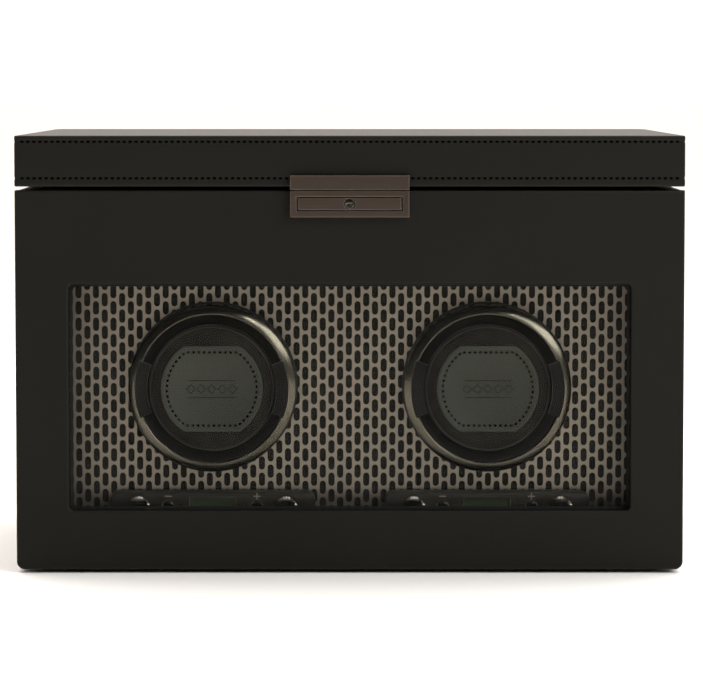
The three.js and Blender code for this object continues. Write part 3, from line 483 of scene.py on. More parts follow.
def cut_away(piece, *cutters):
    """Takes the shapes in the cutters' bmeshes out of a piece for good."""
    for number, bm in enumerate(cutters):
        cutter = make_object(bm, f"cutter_{number}")
        knife = piece.modifiers.new("cut", "BOOLEAN")
        knife.operation = "DIFFERENCE"
        knife.solver = "EXACT"
        knife.object = cutter
        bpy.context.view_layer.update()
        apply_modifiers(piece)
        bpy.data.objects.remove(cutter)
    piece.data.set_sharp_from_angle(angle=math.radians(35))
    return piece


def round_cad_edges(node, material, width_mm, segments=2):
    """A CAD piece keeps its shape, and gets its finish and slightly rounded edges."""
    cad = frame["nodes"][node]
    cad.data.materials.clear()
    cad.data.materials.append(material)
    weld = cad.modifiers.new("close_seams", "WELD")
    weld.merge_threshold = 0.002 * MM
    if width_mm:
        rounding = cad.modifiers.new("rounded_edges", "BEVEL")
        rounding.width = width_mm * MM
        rounding.segments = segments
        rounding.limit_method = "ANGLE"
        rounding.angle_limit = math.radians(40)
        rounding.harden_normals = False
    cad.data.shade_smooth()
    cad.data.set_sharp_from_angle(angle=math.radians(35))
    even_shading(cad)
    return cad


def walk(points, spacing, closed=True):
    """Evenly spaced places along a line of points: each is (place, direction)."""
    line = [Vector(p) for p in points]
    if closed:
        line.append(line[0])
    lengths = [(b - a).length for a, b in zip(line, line[1:])]
    count = max(1, round(sum(lengths) / spacing))
    step = sum(lengths) / count
    places, leg, travelled = [], 0, 0.0
    for number in range(count):
        target = (number + 0.5) * step
        while travelled + lengths[leg] < target:
            travelled += lengths[leg]
            leg += 1
        direction = (line[leg + 1] - line[leg]).normalized()
        places.append((line[leg] + direction * (target - travelled), direction))
    return places


def sew(bm, places, outward, length, width, height):
    """Adds a short thread at each place, half sunk into the surface that faces outward."""
    for place, along in places:
        out = Vector(outward(place)) if callable(outward) else Vector(outward)
        across = out.cross(along).normalized()
        turn = Matrix((along, across, out)).transposed().to_4x4()
        size = Matrix.Diagonal((length, width, height, 1))
        bmesh.ops.create_uvsphere(
            bm,
            u_segments=6,
            v_segments=5,
            radius=0.5,
            matrix=Matrix.Translation(place) @ turn @ size,
        )
    return bm


def turned_to_y(x, y, z):
    """A placement that lays something made along Z down along Y."""
    return Matrix.Translation((x, y, z)) @ Matrix.Rotation(math.pi / 2, 4, "X")


def start_rod(radius, length, place, segments):
    """A bmesh cylinder along Y, about a place."""
    bm = bmesh.new()
    bmesh.ops.create_cone(
        bm,
        cap_ends=True,
        segments=segments,
        radius1=radius,
        radius2=radius,
        depth=length,
        matrix=turned_to_y(*place),
    )
    return bm


def rod_along_y(bounds, radius, front, back, segments=32):
    """A round cutter along Y, on the axis of a box."""
    low, high = bounds
    place = ((low.x + high.x) / 2, (front + back) / 2, (low.z + high.z) / 2)
    return start_rod(radius, back - front, place, segments)


# %% [markdown]
# ## The case
#
# Board sides, a back and a base are glued up and wrapped in one skin of leather, so the corners
# show no joints. One rounded block is hollowed from the front and the top, and stands for the
# four boards.

# %% Case
base_low, base_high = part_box("base_board")
left_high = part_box("left_board")[1]
back_low, back_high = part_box("back_board")
right_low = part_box("right_board")[0]
WRAP_RADIUS = 1.4 * MM

case_block = start_rounded_box(base_low, (base_high.x, base_high.y, left_high.z), WRAP_RADIUS)
case_shell = finish_piece(
    case_block,
    "leather_case_shell",
    case_leather,
    "case",
    ("base_board", "left_board", "right_board", "back_board"),
)
case_hollow = start_box(
    (left_high.x, base_low.y - 1, base_high.z), (right_low.x, back_low.y, left_high.z + 1)
)
SOCKET_HOLE = 5.75 * MM
socket_hole = rod_along_y(
    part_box("power_socket"), SOCKET_HOLE, back_low.y - 1 * MM, back_high.y + 0.1 * MM
)
even_shading(cut_away(case_shell, case_hollow, socket_hole))
round_cad_edges("base_felt", base_felt, 0.5)
round_cad_edges("power_socket", black_abs, 0.2)
print("case:", len(case_shell.data.polygons), "faces")

# %% [markdown]
# ## The lid
#
# The lid is a shallow leather box turned upside down. Its top is padded, so it is very slightly
# crowned. A band of leather runs round its sides between two rows of stitches, and each row lies
# in a shallow channel that the pull of the thread has made.

# %% Lid
lid_low, lid_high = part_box("lid_shell")
LID_CROWN = 0.5 * MM
LID_EDGE = 0.8 * MM
LID_WALL = 9 * MM
LID_ROOF = 8 * MM
STITCH_ROWS = (lid_high.z - 3.6 * MM, lid_low.z + 4.3 * MM)
CHANNEL = 0.35 * MM
CHANNEL_HALF = 1.0 * MM

lid = start_rounded_box(lid_low, lid_high - Vector((0, 0, LID_CROWN)), LID_EDGE)
lid_top = max(lid.faces, key=lambda face: face.calc_center_median().z)
for inset, lift in ((5, 0.2), (14, 0.15), (30, 0.1), (45, 0.05)):
    bmesh.ops.inset_region(lid, faces=[lid_top], thickness=inset * MM)
    bmesh.ops.translate(lid, vec=(0, 0, lift * MM), verts=lid_top.verts[:])
lid_mouth = min(lid.faces, key=lambda face: face.calc_center_median().z)
bmesh.ops.inset_region(lid, faces=[lid_mouth], thickness=LID_WALL - LID_EDGE)
lid_ceiling = bmesh.ops.extrude_discrete_faces(lid, faces=[lid_mouth])["faces"][0]
bmesh.ops.translate(lid, vec=(0, 0, lid_high.z - LID_ROOF - lid_low.z), verts=lid_ceiling.verts[:])
for row in STITCH_ROWS:
    for level in (row - CHANNEL_HALF, row, row + CHANNEL_HALF):
        slice_through(lid, (0, 0, level), (0, 0, 1))


def outward_from_box(place, low, high, margin=5 * MM):
    """The level direction from a box's core to a place near its sides."""
    core = Vector(
        (
            min(max(place.x, low.x + margin), high.x - margin),
            min(max(place.y, low.y + margin), high.y - margin),
            place.z,
        )
    )
    return (place - core).normalized()


for vertex in lid.verts:
    in_row = any(abs(vertex.co.z - row) < 0.01 * MM for row in STITCH_ROWS)
    at_side = (
        min(vertex.co.x - lid_low.x, lid_high.x - vertex.co.x) < 2 * MM
        or min(vertex.co.y - lid_low.y, lid_high.y - vertex.co.y) < 2 * MM
    )
    if in_row and at_side:
        vertex.co -= outward_from_box(vertex.co, lid_low, lid_high) * CHANNEL
lid_cover = finish_piece(
    lid, "leather_lid", case_leather, "lid", ("lid_shell",), sharp=50
)
even_shading(lid_cover)
print("lid:", len(lid_cover.data.polygons), "faces")

# %% [markdown]
# The stitches are waxed black thread, about eight to the inch. They are real beads of thread,
# because at the lid's corners they stand out against the background.

# %% Lid stitches
STITCH_PITCH = 3.05 * MM
lid_thread = bmesh.new()
for row in STITCH_ROWS:
    inset = CHANNEL * 0.9
    corners = [
        (lid_low.x + inset, lid_low.y + inset, row),
        (lid_high.x - inset, lid_low.y + inset, row),
        (lid_high.x - inset, lid_high.y - inset, row),
        (lid_low.x + inset, lid_high.y - inset, row),
    ]
    for start, end in zip(corners, corners[1:] + corners[:1]):
        side = (Vector(end) - Vector(start)).normalized()
        trim = side * 2.2 * MM
        outward = side.cross(Vector((0, 0, 1)))
        places = walk([Vector(start) + trim, Vector(end) - trim], STITCH_PITCH, closed=False)
        sew(lid_thread, places, outward, 2.1 * MM, 1.6 * MM, 1.1 * MM)
lid_stitches = finish_piece(lid_thread, "lid_stitches", black_thread, "lid")
print("lid stitches:", len(lid_stitches.data.polygons) // 30)

# %% [markdown]
# ## The door
#
# The door is one leather-covered board. Its outer edges are rounded, most of all along the bottom
# where it turns over its pins, and the leather folds round the window's edge into the rebate that
# takes the glass.

# %% Door
glass_low, glass_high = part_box("door_glass")
REBATE = 5.6 * MM
WINDOW_RADIUS = 2.5 * MM
DOOR_CORNER = 4 * MM
DOOR_EDGE = 1.0 * MM
window_low = Vector((glass_low.x + REBATE, 0, glass_low.z + REBATE))
window_high = Vector((glass_high.x - REBATE, 0, glass_high.z - REBATE))


def edges_where(bm, test):
    """Edges whose two ends both pass a test on their place."""
    return [edge for edge in bm.edges if all(test(vertex.co) for vertex in edge.verts)]


def near(a, b, slack=0.02 * MM):
    return abs(a - b) < slack


def front_to_back(edges):
    """Those edges that run straight from front to back."""
    ends = [(edge, *(vertex.co for vertex in edge.verts)) for edge in edges]
    return [edge for edge, a, b in ends if near(a.x, b.x) and near(a.z, b.z)]


def upright_block(low, high, radius):
    """A block whose four edges that run from front to back are rounded."""
    bm = start_box(low, high)
    bevel_edges(bm, front_to_back(bm.edges), radius, 5)
    return bm


def window_block(inset, front, back):
    """A block as wide and high as the window, less an inset at each side."""
    low = (window_low.x + inset, front, window_low.z + inset)
    high = (window_high.x - inset, back, window_high.z - inset)
    return upright_block(low, high, WINDOW_RADIUS)


def pivot_slot(end):
    """The slot in the door's foot that an arm of the pivot reaches up into."""
    low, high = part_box(f"door_pivot_{end}")
    gap = 0.3 * MM
    return start_box(
        (low.x - gap, low.y - gap, door_low.z - 1 * MM),
        (high.x + gap, door_high.y + 1 * MM, high.z + gap),
    )


SLEEVE_HOLE = 5.8 * MM
sleeve_low, sleeve_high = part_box("lock_sleeve")
door_bm = start_box(door_low, door_high)
bottom_corners = front_to_back(edges_where(door_bm, lambda p: near(p.z, door_low.z)))
bevel_edges(door_bm, bottom_corners, DOOR_CORNER, 6)
front_rim = edges_where(door_bm, lambda p: near(p.y, door_low.y))
bevel_edges(door_bm, front_rim, DOOR_EDGE, 4)
door_cover = finish_piece(
    door_bm, "leather_door", case_leather, "door", ("door_panel",)
)
cut_away(
    door_cover,
    window_block(0, door_low.y - 1, door_high.y + 1),
    start_box(
        (glass_low.x - 0.3 * MM, glass_low.y - 0.3 * MM, glass_low.z - 0.3 * MM),
        (glass_high.x + 0.3 * MM, door_high.y + 1, glass_high.z + 0.3 * MM),
    ),
    *[pivot_slot(end) for end in SIDES],
    rod_along_y(
        (sleeve_low, sleeve_high), SLEEVE_HOLE, sleeve_low.y - 5 * MM, sleeve_high.y + 0.3 * MM
    ),
)


def round_window_edge():
    """Rounds the fold of leather along the window's front edge."""
    bm = bmesh.new()
    bm.from_mesh(door_cover.data)
    rim = edges_where(
        bm,
        lambda p: near(p.y, door_low.y)
        and window_low.x - 1 * MM < p.x < window_high.x + 1 * MM
        and window_low.z - 1 * MM < p.z < window_high.z + 1 * MM,
    )
    bevel_edges(bm, rim, 1.1 * MM, 3)
    bm.to_mesh(door_cover.data)
    bm.free()
    door_cover.data.set_sharp_from_angle(angle=math.radians(35))
    print("window edge:", len(rim), "edges rounded")


round_window_edge()
even_shading(door_cover)


def window_shade_strip():
    """A black strip round the front of the glass: painted shade for the reveal's shadow, which
    hides the rebate's edge.
    """
    front, back = glass_low.y - 0.5 * MM, glass_low.y - 0.05 * MM
    block = window_block(0.15 * MM, front, back)
    strip = finish_piece(block, "window_shade_strip", belt_rubber, "door")
    return cut_away(strip, window_block(1.5 * MM, front - 1, back + 1))


# The strip paints the shadow that lines the window's reveal.
print("shade_strip:", len(window_shade_strip().data.polygons), "faces")
frame["nodes"]["door_glass"].data.materials.clear()
frame["nodes"]["door_glass"].data.materials.append(window_glass)

# %% [markdown]
# ## The fascia
#
# A sheet of perforated aluminium fills the opening behind the drums. Its slots have round ends
# and stand in staggered columns. One small tile with a slot in it is filled, copied and welded
# into a sheet, and the sheet is given its thickness, so every slot is real. A black scrim behind
# it hides the works.

# %% Perforated sheet
fascia_low, fascia_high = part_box("fascia_panel")
SLOT_WIDTH = 3.3 * MM
SHEET = 0.7 * MM
SLOT_HEIGHT = 7.2 * MM
COLUMN_PITCH = 4.557 * MM
ROW_PITCH = 8.58 * MM
FIRST_COLUMN = -160.03 * MM
FIRST_ROW = 5.22 * MM
COLUMN_PAIRS = 37
ROWS = 18


def slot_tile(x, z):
    """One cell of sheet round one slot, with points where the next column's corners meet it."""
    bm = bmesh.new()
    half_w, half_h = COLUMN_PITCH / 2, ROW_PITCH / 2
    cell = [(-1, -1), (1, -1), (1, 0), (1, 1), (-1, 1), (-1, 0)]
    outline = [bm.verts.new((x + a * half_w, fascia_low.y, z + b * half_h)) for a, b in cell]
    radius = SLOT_WIDTH / 2
    straight = SLOT_HEIGHT / 2 - radius
    slot = []
    for end, start in ((1, 0), (-1, math.pi)):
        for i in range(6):
            angle = start + math.pi * i / 5
            slot.append(
                bm.verts.new(
                    (
                        x + radius * math.cos(angle),
                        fascia_low.y,
                        z + end * straight + radius * math.sin(angle),
                    )
                )
            )
    edges = [
        bm.edges.new((a, b)) for ring in (outline, slot) for a, b in zip(ring, ring[1:] + ring[:1])
    ]
    bmesh.ops.triangle_fill(bm, edges=edges, use_beauty=True)
    return bm


def repeat(bm, step, count):
    """Copies everything count times in a row, a step apart."""
    original = bm.verts[:] + bm.edges[:] + bm.faces[:]
    for number in range(1, count):
        copied = bmesh.ops.duplicate(bm, geom=original)["geom"]
        bmesh.ops.translate(bm, vec=Vector(step) * number, verts=points_in(copied))


def perforated_sheet():
    sheet = slot_tile(FIRST_COLUMN, FIRST_ROW)
    shifted = slot_tile(FIRST_COLUMN + COLUMN_PITCH, FIRST_ROW + ROW_PITCH / 2)
    take_in(sheet, shifted)
    repeat(sheet, (0, 0, ROW_PITCH), ROWS)
    repeat(sheet, (2 * COLUMN_PITCH, 0, 0), COLUMN_PAIRS)
    bmesh.ops.remove_doubles(sheet, verts=sheet.verts, dist=0.01 * MM)
    for corner, outward in (
        (fascia_low, (-1, 0, 0)),
        (fascia_low, (0, 0, -1)),
        (fascia_high, (1, 0, 0)),
        (fascia_high, (0, 0, 1)),
    ):
        slice_through(sheet, corner, outward, trim=True)
    thicken(sheet, SHEET)
    return sheet


def drum_axis(side):
    """The middle of a module's drum, as (x, z)."""
    low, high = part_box(f"{side}_drum_bezel")
    return (low.x + high.x) / 2, (low.z + high.z) / 2


def cut_drum_bores(sheet, front, back):
    """Cuts a round hole for each drum through a sheet between two depths."""
    bezels = [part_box(f"{side}_drum_bezel") for side in SIDES]
    bores = [rod_along_y(b, FASCIA_BORE, front - 0.01, back + 0.01, 96) for b in bezels]
    cut_away(sheet, *bores)


BEZEL_RADIUS = (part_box("left_drum_bezel")[1].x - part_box("left_drum_bezel")[0].x) / 2
FASCIA_BORE = BEZEL_RADIUS + 0.8 * MM
fascia = finish_piece(
    perforated_sheet(), "perforated_fascia", champagne, "case", ("fascia_panel",)
)
cut_drum_bores(fascia, fascia_low.y, fascia_high.y)
print("fascia:", len(fascia.data.polygons), "faces")

# %% Scrim behind the sheet
scrim_low = Vector((fascia_low.x, fascia_high.y + 0.02 * MM, fascia_low.z))
scrim_high = Vector((fascia_high.x, fascia_high.y + 0.25 * MM, fascia_high.z))
scrim = finish_piece(
    start_box(scrim_low, scrim_high), "fascia_scrim", dark_scrim, "case"
)
cut_drum_bores(scrim, scrim_low.y, scrim_high.y)

# %% [markdown]
# ## The drums
#
# Each drum ends in a polished ring. Its section is a broad crown with a fine lip inside, spun
# once round the drum's axis.


# %% Bezels
def spin_profile(profile, x, z, steps=96):
    """Turns a closed line of (radius, y) points into a ring about an axis along Y."""
    bm = bmesh.new()
    points = [bm.verts.new((x + r, y, z)) for r, y in profile]
    rim = [bm.edges.new(pair) for pair in zip(points, points[1:] + points[:1])]
    bmesh.ops.spin(
        bm,
        geom=points + rim,
        cent=(x, 0, z),
        axis=(0, 1, 0),
        angle=math.tau,
        steps=steps,
        use_merge=True,
        use_duplicate=False,
    )
    bmesh.ops.remove_doubles(bm, verts=bm.verts, dist=0.001 * MM)
    bmesh.ops.recalc_face_normals(bm, faces=bm.faces)
    return bm


def bezel_profile(front):
    """The ring's section, from its inner lip over the crown to the end of its skirt.

    The crown is highest near the lip and falls away outwards, ever more steeply, so that it
    catches the light in one broad band.
    """
    section = [(38.3, 3.2), (38.3, 0.9), (38.45, 0.45), (38.7, 0.15), (38.95, 0.03)]
    peak, rim, start_slope, end_slope = 39.15, 43.5, 0.3, 0.66
    width = rim - 0.35 - peak
    for i in range(15):
        out = width * i / 14
        drop = start_slope * out + (end_slope - start_slope) * out * out / (2 * width)
        section.append((peak + out, drop))
    section += [(rim - 0.1, section[-1][1] + 0.25), (rim, section[-1][1] + 0.7)]
    section += [(rim, 9.9), (41.8, 9.9), (41.8, 3.2)]
    return [(radius * MM, front + depth * MM) for radius, depth in section]


for side in SIDES:
    x, z = drum_axis(side)
    bezel_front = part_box(f"{side}_drum_bezel")[0].y
    finish_piece(
        spin_profile(bezel_profile(bezel_front), x, z),
        f"{side}_polished_bezel",
        dark_chrome,
        f"{side}_drum",
        (f"{side}_drum_bezel",),
    )
    round_cad_edges(f"{side}_drum_cup", cuff_suede, 0)

# %% [markdown]
# ## The cuffs
#
# A cuff is a padded cylinder of suede that a watch is strapped round. Its face is a soft disc
# with a raised seam at its edge, and a leather patch is sewn to it. A tab at each side is squeezed
# to let the cuff out of the drum.


# %% Cuff pillows
def cuff_pillow(side):
    node = f"{side}_cuff_pillow"
    low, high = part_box(node)
    x, z = drum_axis(side)
    radius = (high.x - low.x) / 2
    profile = [(0.02 * MM, low.y + 0.1 * MM)]
    for share, depth in (
        (0.25, 0.1),
        (0.5, 0.12),
        (0.7, 0.2),
        (0.82, 0.5),
        (0.9, 1.3),
        (0.955, 2.6),
        (0.985, 4.4),
        (1.0, 7.0),
        (0.99, 11),
        (0.95, 16),
        (0.92, 26),
        (0.915, 40),
    ):
        profile.append((radius * share, low.y + depth * MM))
    profile += [(radius * 0.8, high.y - 0.5 * MM), (radius * 0.4, high.y), (0.02 * MM, high.y)]
    bm = spin_profile(profile, x, z, steps=64)
    bmesh.ops.subdivide_edges(bm, edges=bm.edges[:], cuts=1, use_grid_fill=True)
    for vertex in bm.verts:
        ripple = noise.fractal(vertex.co * per_mm(16), 0.8, 2.0, 3)
        away = Vector((vertex.co.x - x, 0, vertex.co.z - z))
        share = min(1.0, away.length / radius)
        vertex.co.y += ripple * 0.25 * MM * share
        vertex.co -= away * (max(0.0, ripple) * 0.01)
    piece = finish_piece(
        bm, f"{side}_cuff_cushion", cuff_suede, f"{side}_drum", (node,), sharp=60
    )
    return piece


def ring_tube(x, y, z, radius, thickness, steps=96):
    """A thin round ring about the drum's axis."""
    profile = [
        (radius + thickness * math.cos(a), y + thickness * math.sin(a))
        for a in [math.tau * i / 8 for i in range(8)]
    ]
    return spin_profile(profile, x, z, steps)


for side in SIDES:
    cuff_pillow(side)
    x, z = drum_axis(side)
    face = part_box(f"{side}_cuff_pillow")[0].y
    finish_piece(
        ring_tube(x, face + 1.5 * MM, z, 31.9 * MM, 0.3 * MM),
        f"{side}_cuff_seam",
        lining_suede,
        f"{side}_drum",
    )

# %% [markdown]
# The patch is a disc of calf leather with its top and bottom cut straight. A heated die has
# pressed down everything inside a narrow border. The stitches run just inside the border.


# %% Cuff patches
def ink_bar(bm, x, z, width, height, face):
    """Adds a thin bar with soft edges, a tenth of a millimetre proud of a face."""
    place = Matrix.Translation((x, face, z)) @ Matrix.Diagonal((width, 0.2 * MM, height, 1))
    made = bmesh.ops.create_cube(bm, size=1, matrix=place)
    edges = {edge for vertex in made["verts"] for edge in vertex.link_edges}
    bevel_edges(bm, list(edges), 0.04 * MM, 1)


def patch_outline(radius, half_height, steps=14):
    """Points round a disc whose top and bottom are cut straight."""
    limit = math.asin(half_height / radius)
    points = []
    for start, end in ((-limit, limit), (math.pi - limit, math.pi + limit)):
        for i in range(steps + 1):
            angle = start + (end - start) * i / steps
            points.append((radius * math.cos(angle), radius * math.sin(angle)))
    return points


PATCH_BORDER = 1.6 * MM
PATCH_PRESS = 0.25 * MM
for side in SIDES:
    node = f"{side}_cuff_patch"
    low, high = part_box(node)
    x, z = drum_axis(side)
    half_width, half_height = (high.x - low.x) / 2, (high.z - low.z) / 2
    patch = bmesh.new()
    rim = [
        patch.verts.new((x + a, high.y, z + b)) for a, b in patch_outline(half_width, half_height)
    ]
    back = patch.faces.new(rim)
    front = bmesh.ops.extrude_face_region(patch, geom=[back])["geom"]
    front_face = next(item for item in front if isinstance(item, bmesh.types.BMFace))
    bmesh.ops.translate(patch, vec=(0, low.y - high.y, 0), verts=front_face.verts[:])
    bmesh.ops.recalc_face_normals(patch, faces=patch.faces)
    outer = edges_where(patch, lambda p: near(p.y, low.y))
    bevel_edges(patch, outer, 0.35 * MM, 2)
    middle = min(patch.faces, key=lambda f: f.calc_center_median().y)
    bmesh.ops.inset_region(patch, faces=[middle], thickness=PATCH_BORDER - 0.35 * MM)
    bmesh.ops.inset_region(patch, faces=[middle], thickness=0.3 * MM, depth=-PATCH_PRESS)
    finish_piece(
        patch,
        f"{side}_leather_patch",
        patch_leather,
        f"{side}_drum",
        (node,),
        sharp=50,
    )
    sewn = patch_outline(half_width - 3.1 * MM, half_height - 3.1 * MM)
    sewn = [(x + a, low.y + PATCH_PRESS, z + b) for a, b in sewn]
    thread = sew(bmesh.new(), walk(sewn, 2.75 * MM), (0, -1, 0), 1.75 * MM, 1.5 * MM, 0.6 * MM)
    finish_piece(thread, f"{side}_patch_stitches", black_thread, f"{side}_drum")

# %% [markdown]
# A row of small open lozenges between two short lines fills the middle. It's a plain saddler's
# ornament, in a darker leather that stands a hair proud so that it shows.


# %% Tooled ornament
LOZENGE = 2.6 * MM
LOZENGE_PITCH = 5.4 * MM
LINE_HEIGHT = 4.4 * MM


def tooled_ornament(side):
    low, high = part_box(f"{side}_cuff_patch")
    x, z = drum_axis(side)
    face = low.y + PATCH_PRESS
    bm = bmesh.new()
    for i in range(-2, 3):
        made = bmesh.ops.create_circle(bm, segments=4, radius=LOZENGE, cap_ends=False)
        ring = made["verts"]
        outer = [edge for edge in bm.edges if all(v in ring for v in edge.verts)]
        wide = bmesh.ops.extrude_edge_only(bm, edges=outer)["geom"]
        inner = points_in(wide)
        bmesh.ops.scale(bm, vec=(0.72, 0.72, 1), verts=inner)
        place = turned_to_y(x + i * LOZENGE_PITCH, face, z)
        bmesh.ops.transform(bm, matrix=place, verts=ring + inner)
    thicken(bm, 0.14 * MM)
    bmesh.ops.translate(bm, vec=(0, -0.07 * MM, 0), verts=bm.verts)
    for level in (-LINE_HEIGHT, LINE_HEIGHT):
        ink_bar(bm, x, z + level, 25 * MM, 0.6 * MM, face)
    finish_piece(
        bm, f"{side}_patch_ornament", tooled_leather, f"{side}_drum", sharp=20
    )


for side in SIDES:
    tooled_ornament(side)

# %% [markdown]
# The tabs are moulded plastic with polished, rounded edges. Each is a short arc of a flat ring in
# front, with a spring leg behind it. The CAD shape is right, so it only gets its finish.

# %% Tabs
for side in SIDES:
    for tab in ("outer", "inner"):
        round_cad_edges(f"{side}_cuff_tab_{tab}", tab_abs, 0.4, 3)

# %% [markdown]
# ## The control panels
#
# A control panel is a low moulding of satin plastic with cut-off shoulders. Two fluted knobs, two
# round buttons and a small display sit in it. The moulding is cut from a bevelled block, and its
# button holes are real, so a button can be pressed into its hole.

# %% Panels, knobs and buttons
def knurled_knob(node):
    """A cap with fluted sides, a bevelled edge and a pointer line."""
    low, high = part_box(node)
    x, z = (low.x + high.x) / 2, (low.z + high.z) / 2
    radius = (high.x - low.x) / 2
    depth = 4.9 * MM
    flutes = 24
    bm = start_rod(radius, depth, (x, low.y + depth / 2, z), flutes * 2)
    for vertex in bm.verts:
        away = Vector((vertex.co.x - x, 0, vertex.co.z - z))
        if round(math.atan2(away.z, away.x) / (math.pi / flutes)) % 2:
            vertex.co -= away * 0.09
    cap = min(bm.faces, key=lambda f: f.calc_center_median().y)
    bmesh.ops.inset_region(bm, faces=[cap], thickness=0.7 * MM, depth=0.0)
    bmesh.ops.translate(bm, vec=(0, -0.35 * MM, 0), verts=cap.verts[:])
    bmesh.ops.inset_region(bm, faces=[cap], thickness=0.5 * MM, depth=0.0)
    bmesh.ops.inset_region(bm, faces=[cap], thickness=0.25 * MM, depth=-0.3 * MM)
    pointer = start_box(
        (x - 0.35 * MM, low.y - 0.3 * MM, z + 1.5 * MM),
        (x + 0.35 * MM, low.y + 0.2 * MM, z + 4.6 * MM),
    )
    take_in(bm, pointer)
    bmesh.ops.translate(bm, vec=(0, 0.35 * MM, 0), verts=bm.verts)
    return bm


PANEL_TOP_TRIM = 1.7 * MM
PANEL_SHOULDER = 4 * MM


def add_panel(side):
    """The panel's moulding, with cut-off shoulders and holes for its buttons and display."""
    node = f"{side}_control_panel"
    low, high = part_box(node)
    top = high.z - PANEL_TOP_TRIM
    bm = start_box(low, (high.x, high.y, top))
    shoulders = front_to_back(edges_where(bm, lambda p: near(p.z, top)))
    bevel_edges(bm, shoulders, PANEL_SHOULDER, 2)
    rim = edges_where(bm, lambda p: near(p.y, low.y))
    bevel_edges(bm, rim, 0.9 * MM, 3)
    panel = finish_piece(bm, f"{side}_panel_moulding", panel_abs, "case", (node,))
    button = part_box(f"{side}_plus_button")
    button_radius = (button[1].x - button[0].x) / 2 + 0.3 * MM
    front, back = low.y - 5 * MM, high.y + 5 * MM
    cutters = [
        rod_along_y(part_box(f"{side}_{sign}_button"), button_radius, front, back)
        for sign in ("minus", "plus")
    ]
    lcd_low, lcd_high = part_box(f"{side}_lcd_window")
    gap = Vector((0.15, 0, 0.15)) * MM
    cutters.append(
        start_box(
            (lcd_low.x - gap.x, front, lcd_low.z - gap.z),
            (lcd_high.x + gap.x, lcd_high.y + 0.1 * MM, lcd_high.z + gap.z),
        )
    )
    even_shading(cut_away(panel, *cutters))
    print(node, "faces:", len(panel.data.polygons))


BODY_OF = {
    node: body for body, nodes in frame["record"]["behaviour"]["bodies"].items() for node in nodes
}
for side in SIDES:
    for knob in ("mode", "turns"):
        node = f"{side}_{knob}_knob"
        finish_piece(
            knurled_knob(node),
            f"{side}_{knob}_knob_cap",
            knob_chrome,
            BODY_OF[node],
            (node,),
            sharp=25,
        )
    for sign in ("minus", "plus"):
        round_cad_edges(f"{side}_{sign}_button", gloss_abs, 0.3)
    add_panel(side)
    round_cad_edges(f"{side}_lcd_window", lcd_cell, 0.1)

# %% [markdown]
# Small printed marks say what the buttons and knobs do: a minus and a plus over the buttons, an
# open ring of dots by the mode knob, and three bars by the knob for turns a day. They are pads of
# ink a tenth of a millimetre thick. A tiny lamp sits beside each button.


# %% Marks and lamps
SIGN_OFFSET = 23.1 * MM
SYMBOL_OFFSET = 48.2 * MM
SYMBOL_SINK = 0.35 * MM
LAMP_OFFSET = 16.7 * MM
LAMP_HEIGHT = 31.3 * MM


def panel_marks(side):
    x, _ = drum_axis(side)
    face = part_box(f"{side}_control_panel")[0].y
    z = 36.2 * MM
    bm = bmesh.new()
    ink_bar(bm, x - SIGN_OFFSET, z, 3.6 * MM, 0.7 * MM, face)
    ink_bar(bm, x + SIGN_OFFSET, z, 3.6 * MM, 0.7 * MM, face)
    ink_bar(bm, x + SIGN_OFFSET, z, 0.7 * MM, 3.4 * MM, face)
    for i, length in enumerate((3.6, 2.7, 1.8)):
        level = z - 0.6 * MM - i * 1.5 * MM
        ink_bar(bm, x + SYMBOL_OFFSET, level, length * MM, 0.6 * MM, face + SYMBOL_SINK)
    for i in range(10):
        angle = math.tau * i / 12
        ink_bar(
            bm,
            x - SYMBOL_OFFSET + 1.7 * MM * math.cos(angle),
            z - 2.0 * MM + 1.7 * MM * math.sin(angle),
            0.7 * MM,
            0.7 * MM,
            face + SYMBOL_SINK,
        )
    finish_piece(bm, f"{side}_panel_marks", mark_ink, "case")


def panel_lamps(side):
    x, _ = drum_axis(side)
    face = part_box(f"{side}_control_panel")[0].y
    bm = bmesh.new()
    for offset in (-LAMP_OFFSET, LAMP_OFFSET):
        bmesh.ops.create_uvsphere(
            bm,
            u_segments=16,
            v_segments=8,
            radius=0.8 * MM,
            matrix=Matrix.Translation((x + offset, face, LAMP_HEIGHT)),
        )
    finish_piece(bm, f"{side}_panel_lamps", gloss_abs, "case")


for side in SIDES:
    panel_marks(side)
    panel_lamps(side)

# %% [markdown]
# ## The latch
#
# The latch is two plates of satin gunmetal, one on the lid and one on the door, with a push bar
# and a key cylinder in the lower one. The CAD shapes are right, so they get rounded edges that
# catch the light, and their finishes.

# %% Latch
# The plates, push bar and key get finishes that paint a paler highlight along their rounded edges.
round_cad_edges("latch_lid_plate", gunmetal, 0.5, 3)
round_cad_edges("latch_door_plate", gunmetal, 0.35, 3)
round_cad_edges("push_bar", gunmetal, 0.3, 3)
round_cad_edges("key_cylinder", black_chrome, 0.2)
round_cad_edges("lock_sleeve", turned_brass, 0.2)

# %% [markdown]
# ## Inside
#
# A watch cushion is a leather bag stuffed with foam. Air pressure does what the stuffing does: a
# slightly small block is blown up as cloth until its faces crown and its corners pull in. One
# cushion is made, and copied to the three bays.


# %% Watch cushions
CUSHION_CAP = 3.5 * MM
CUSHION_START = 4 * MM
CUSHION_CORNER = 7 * MM


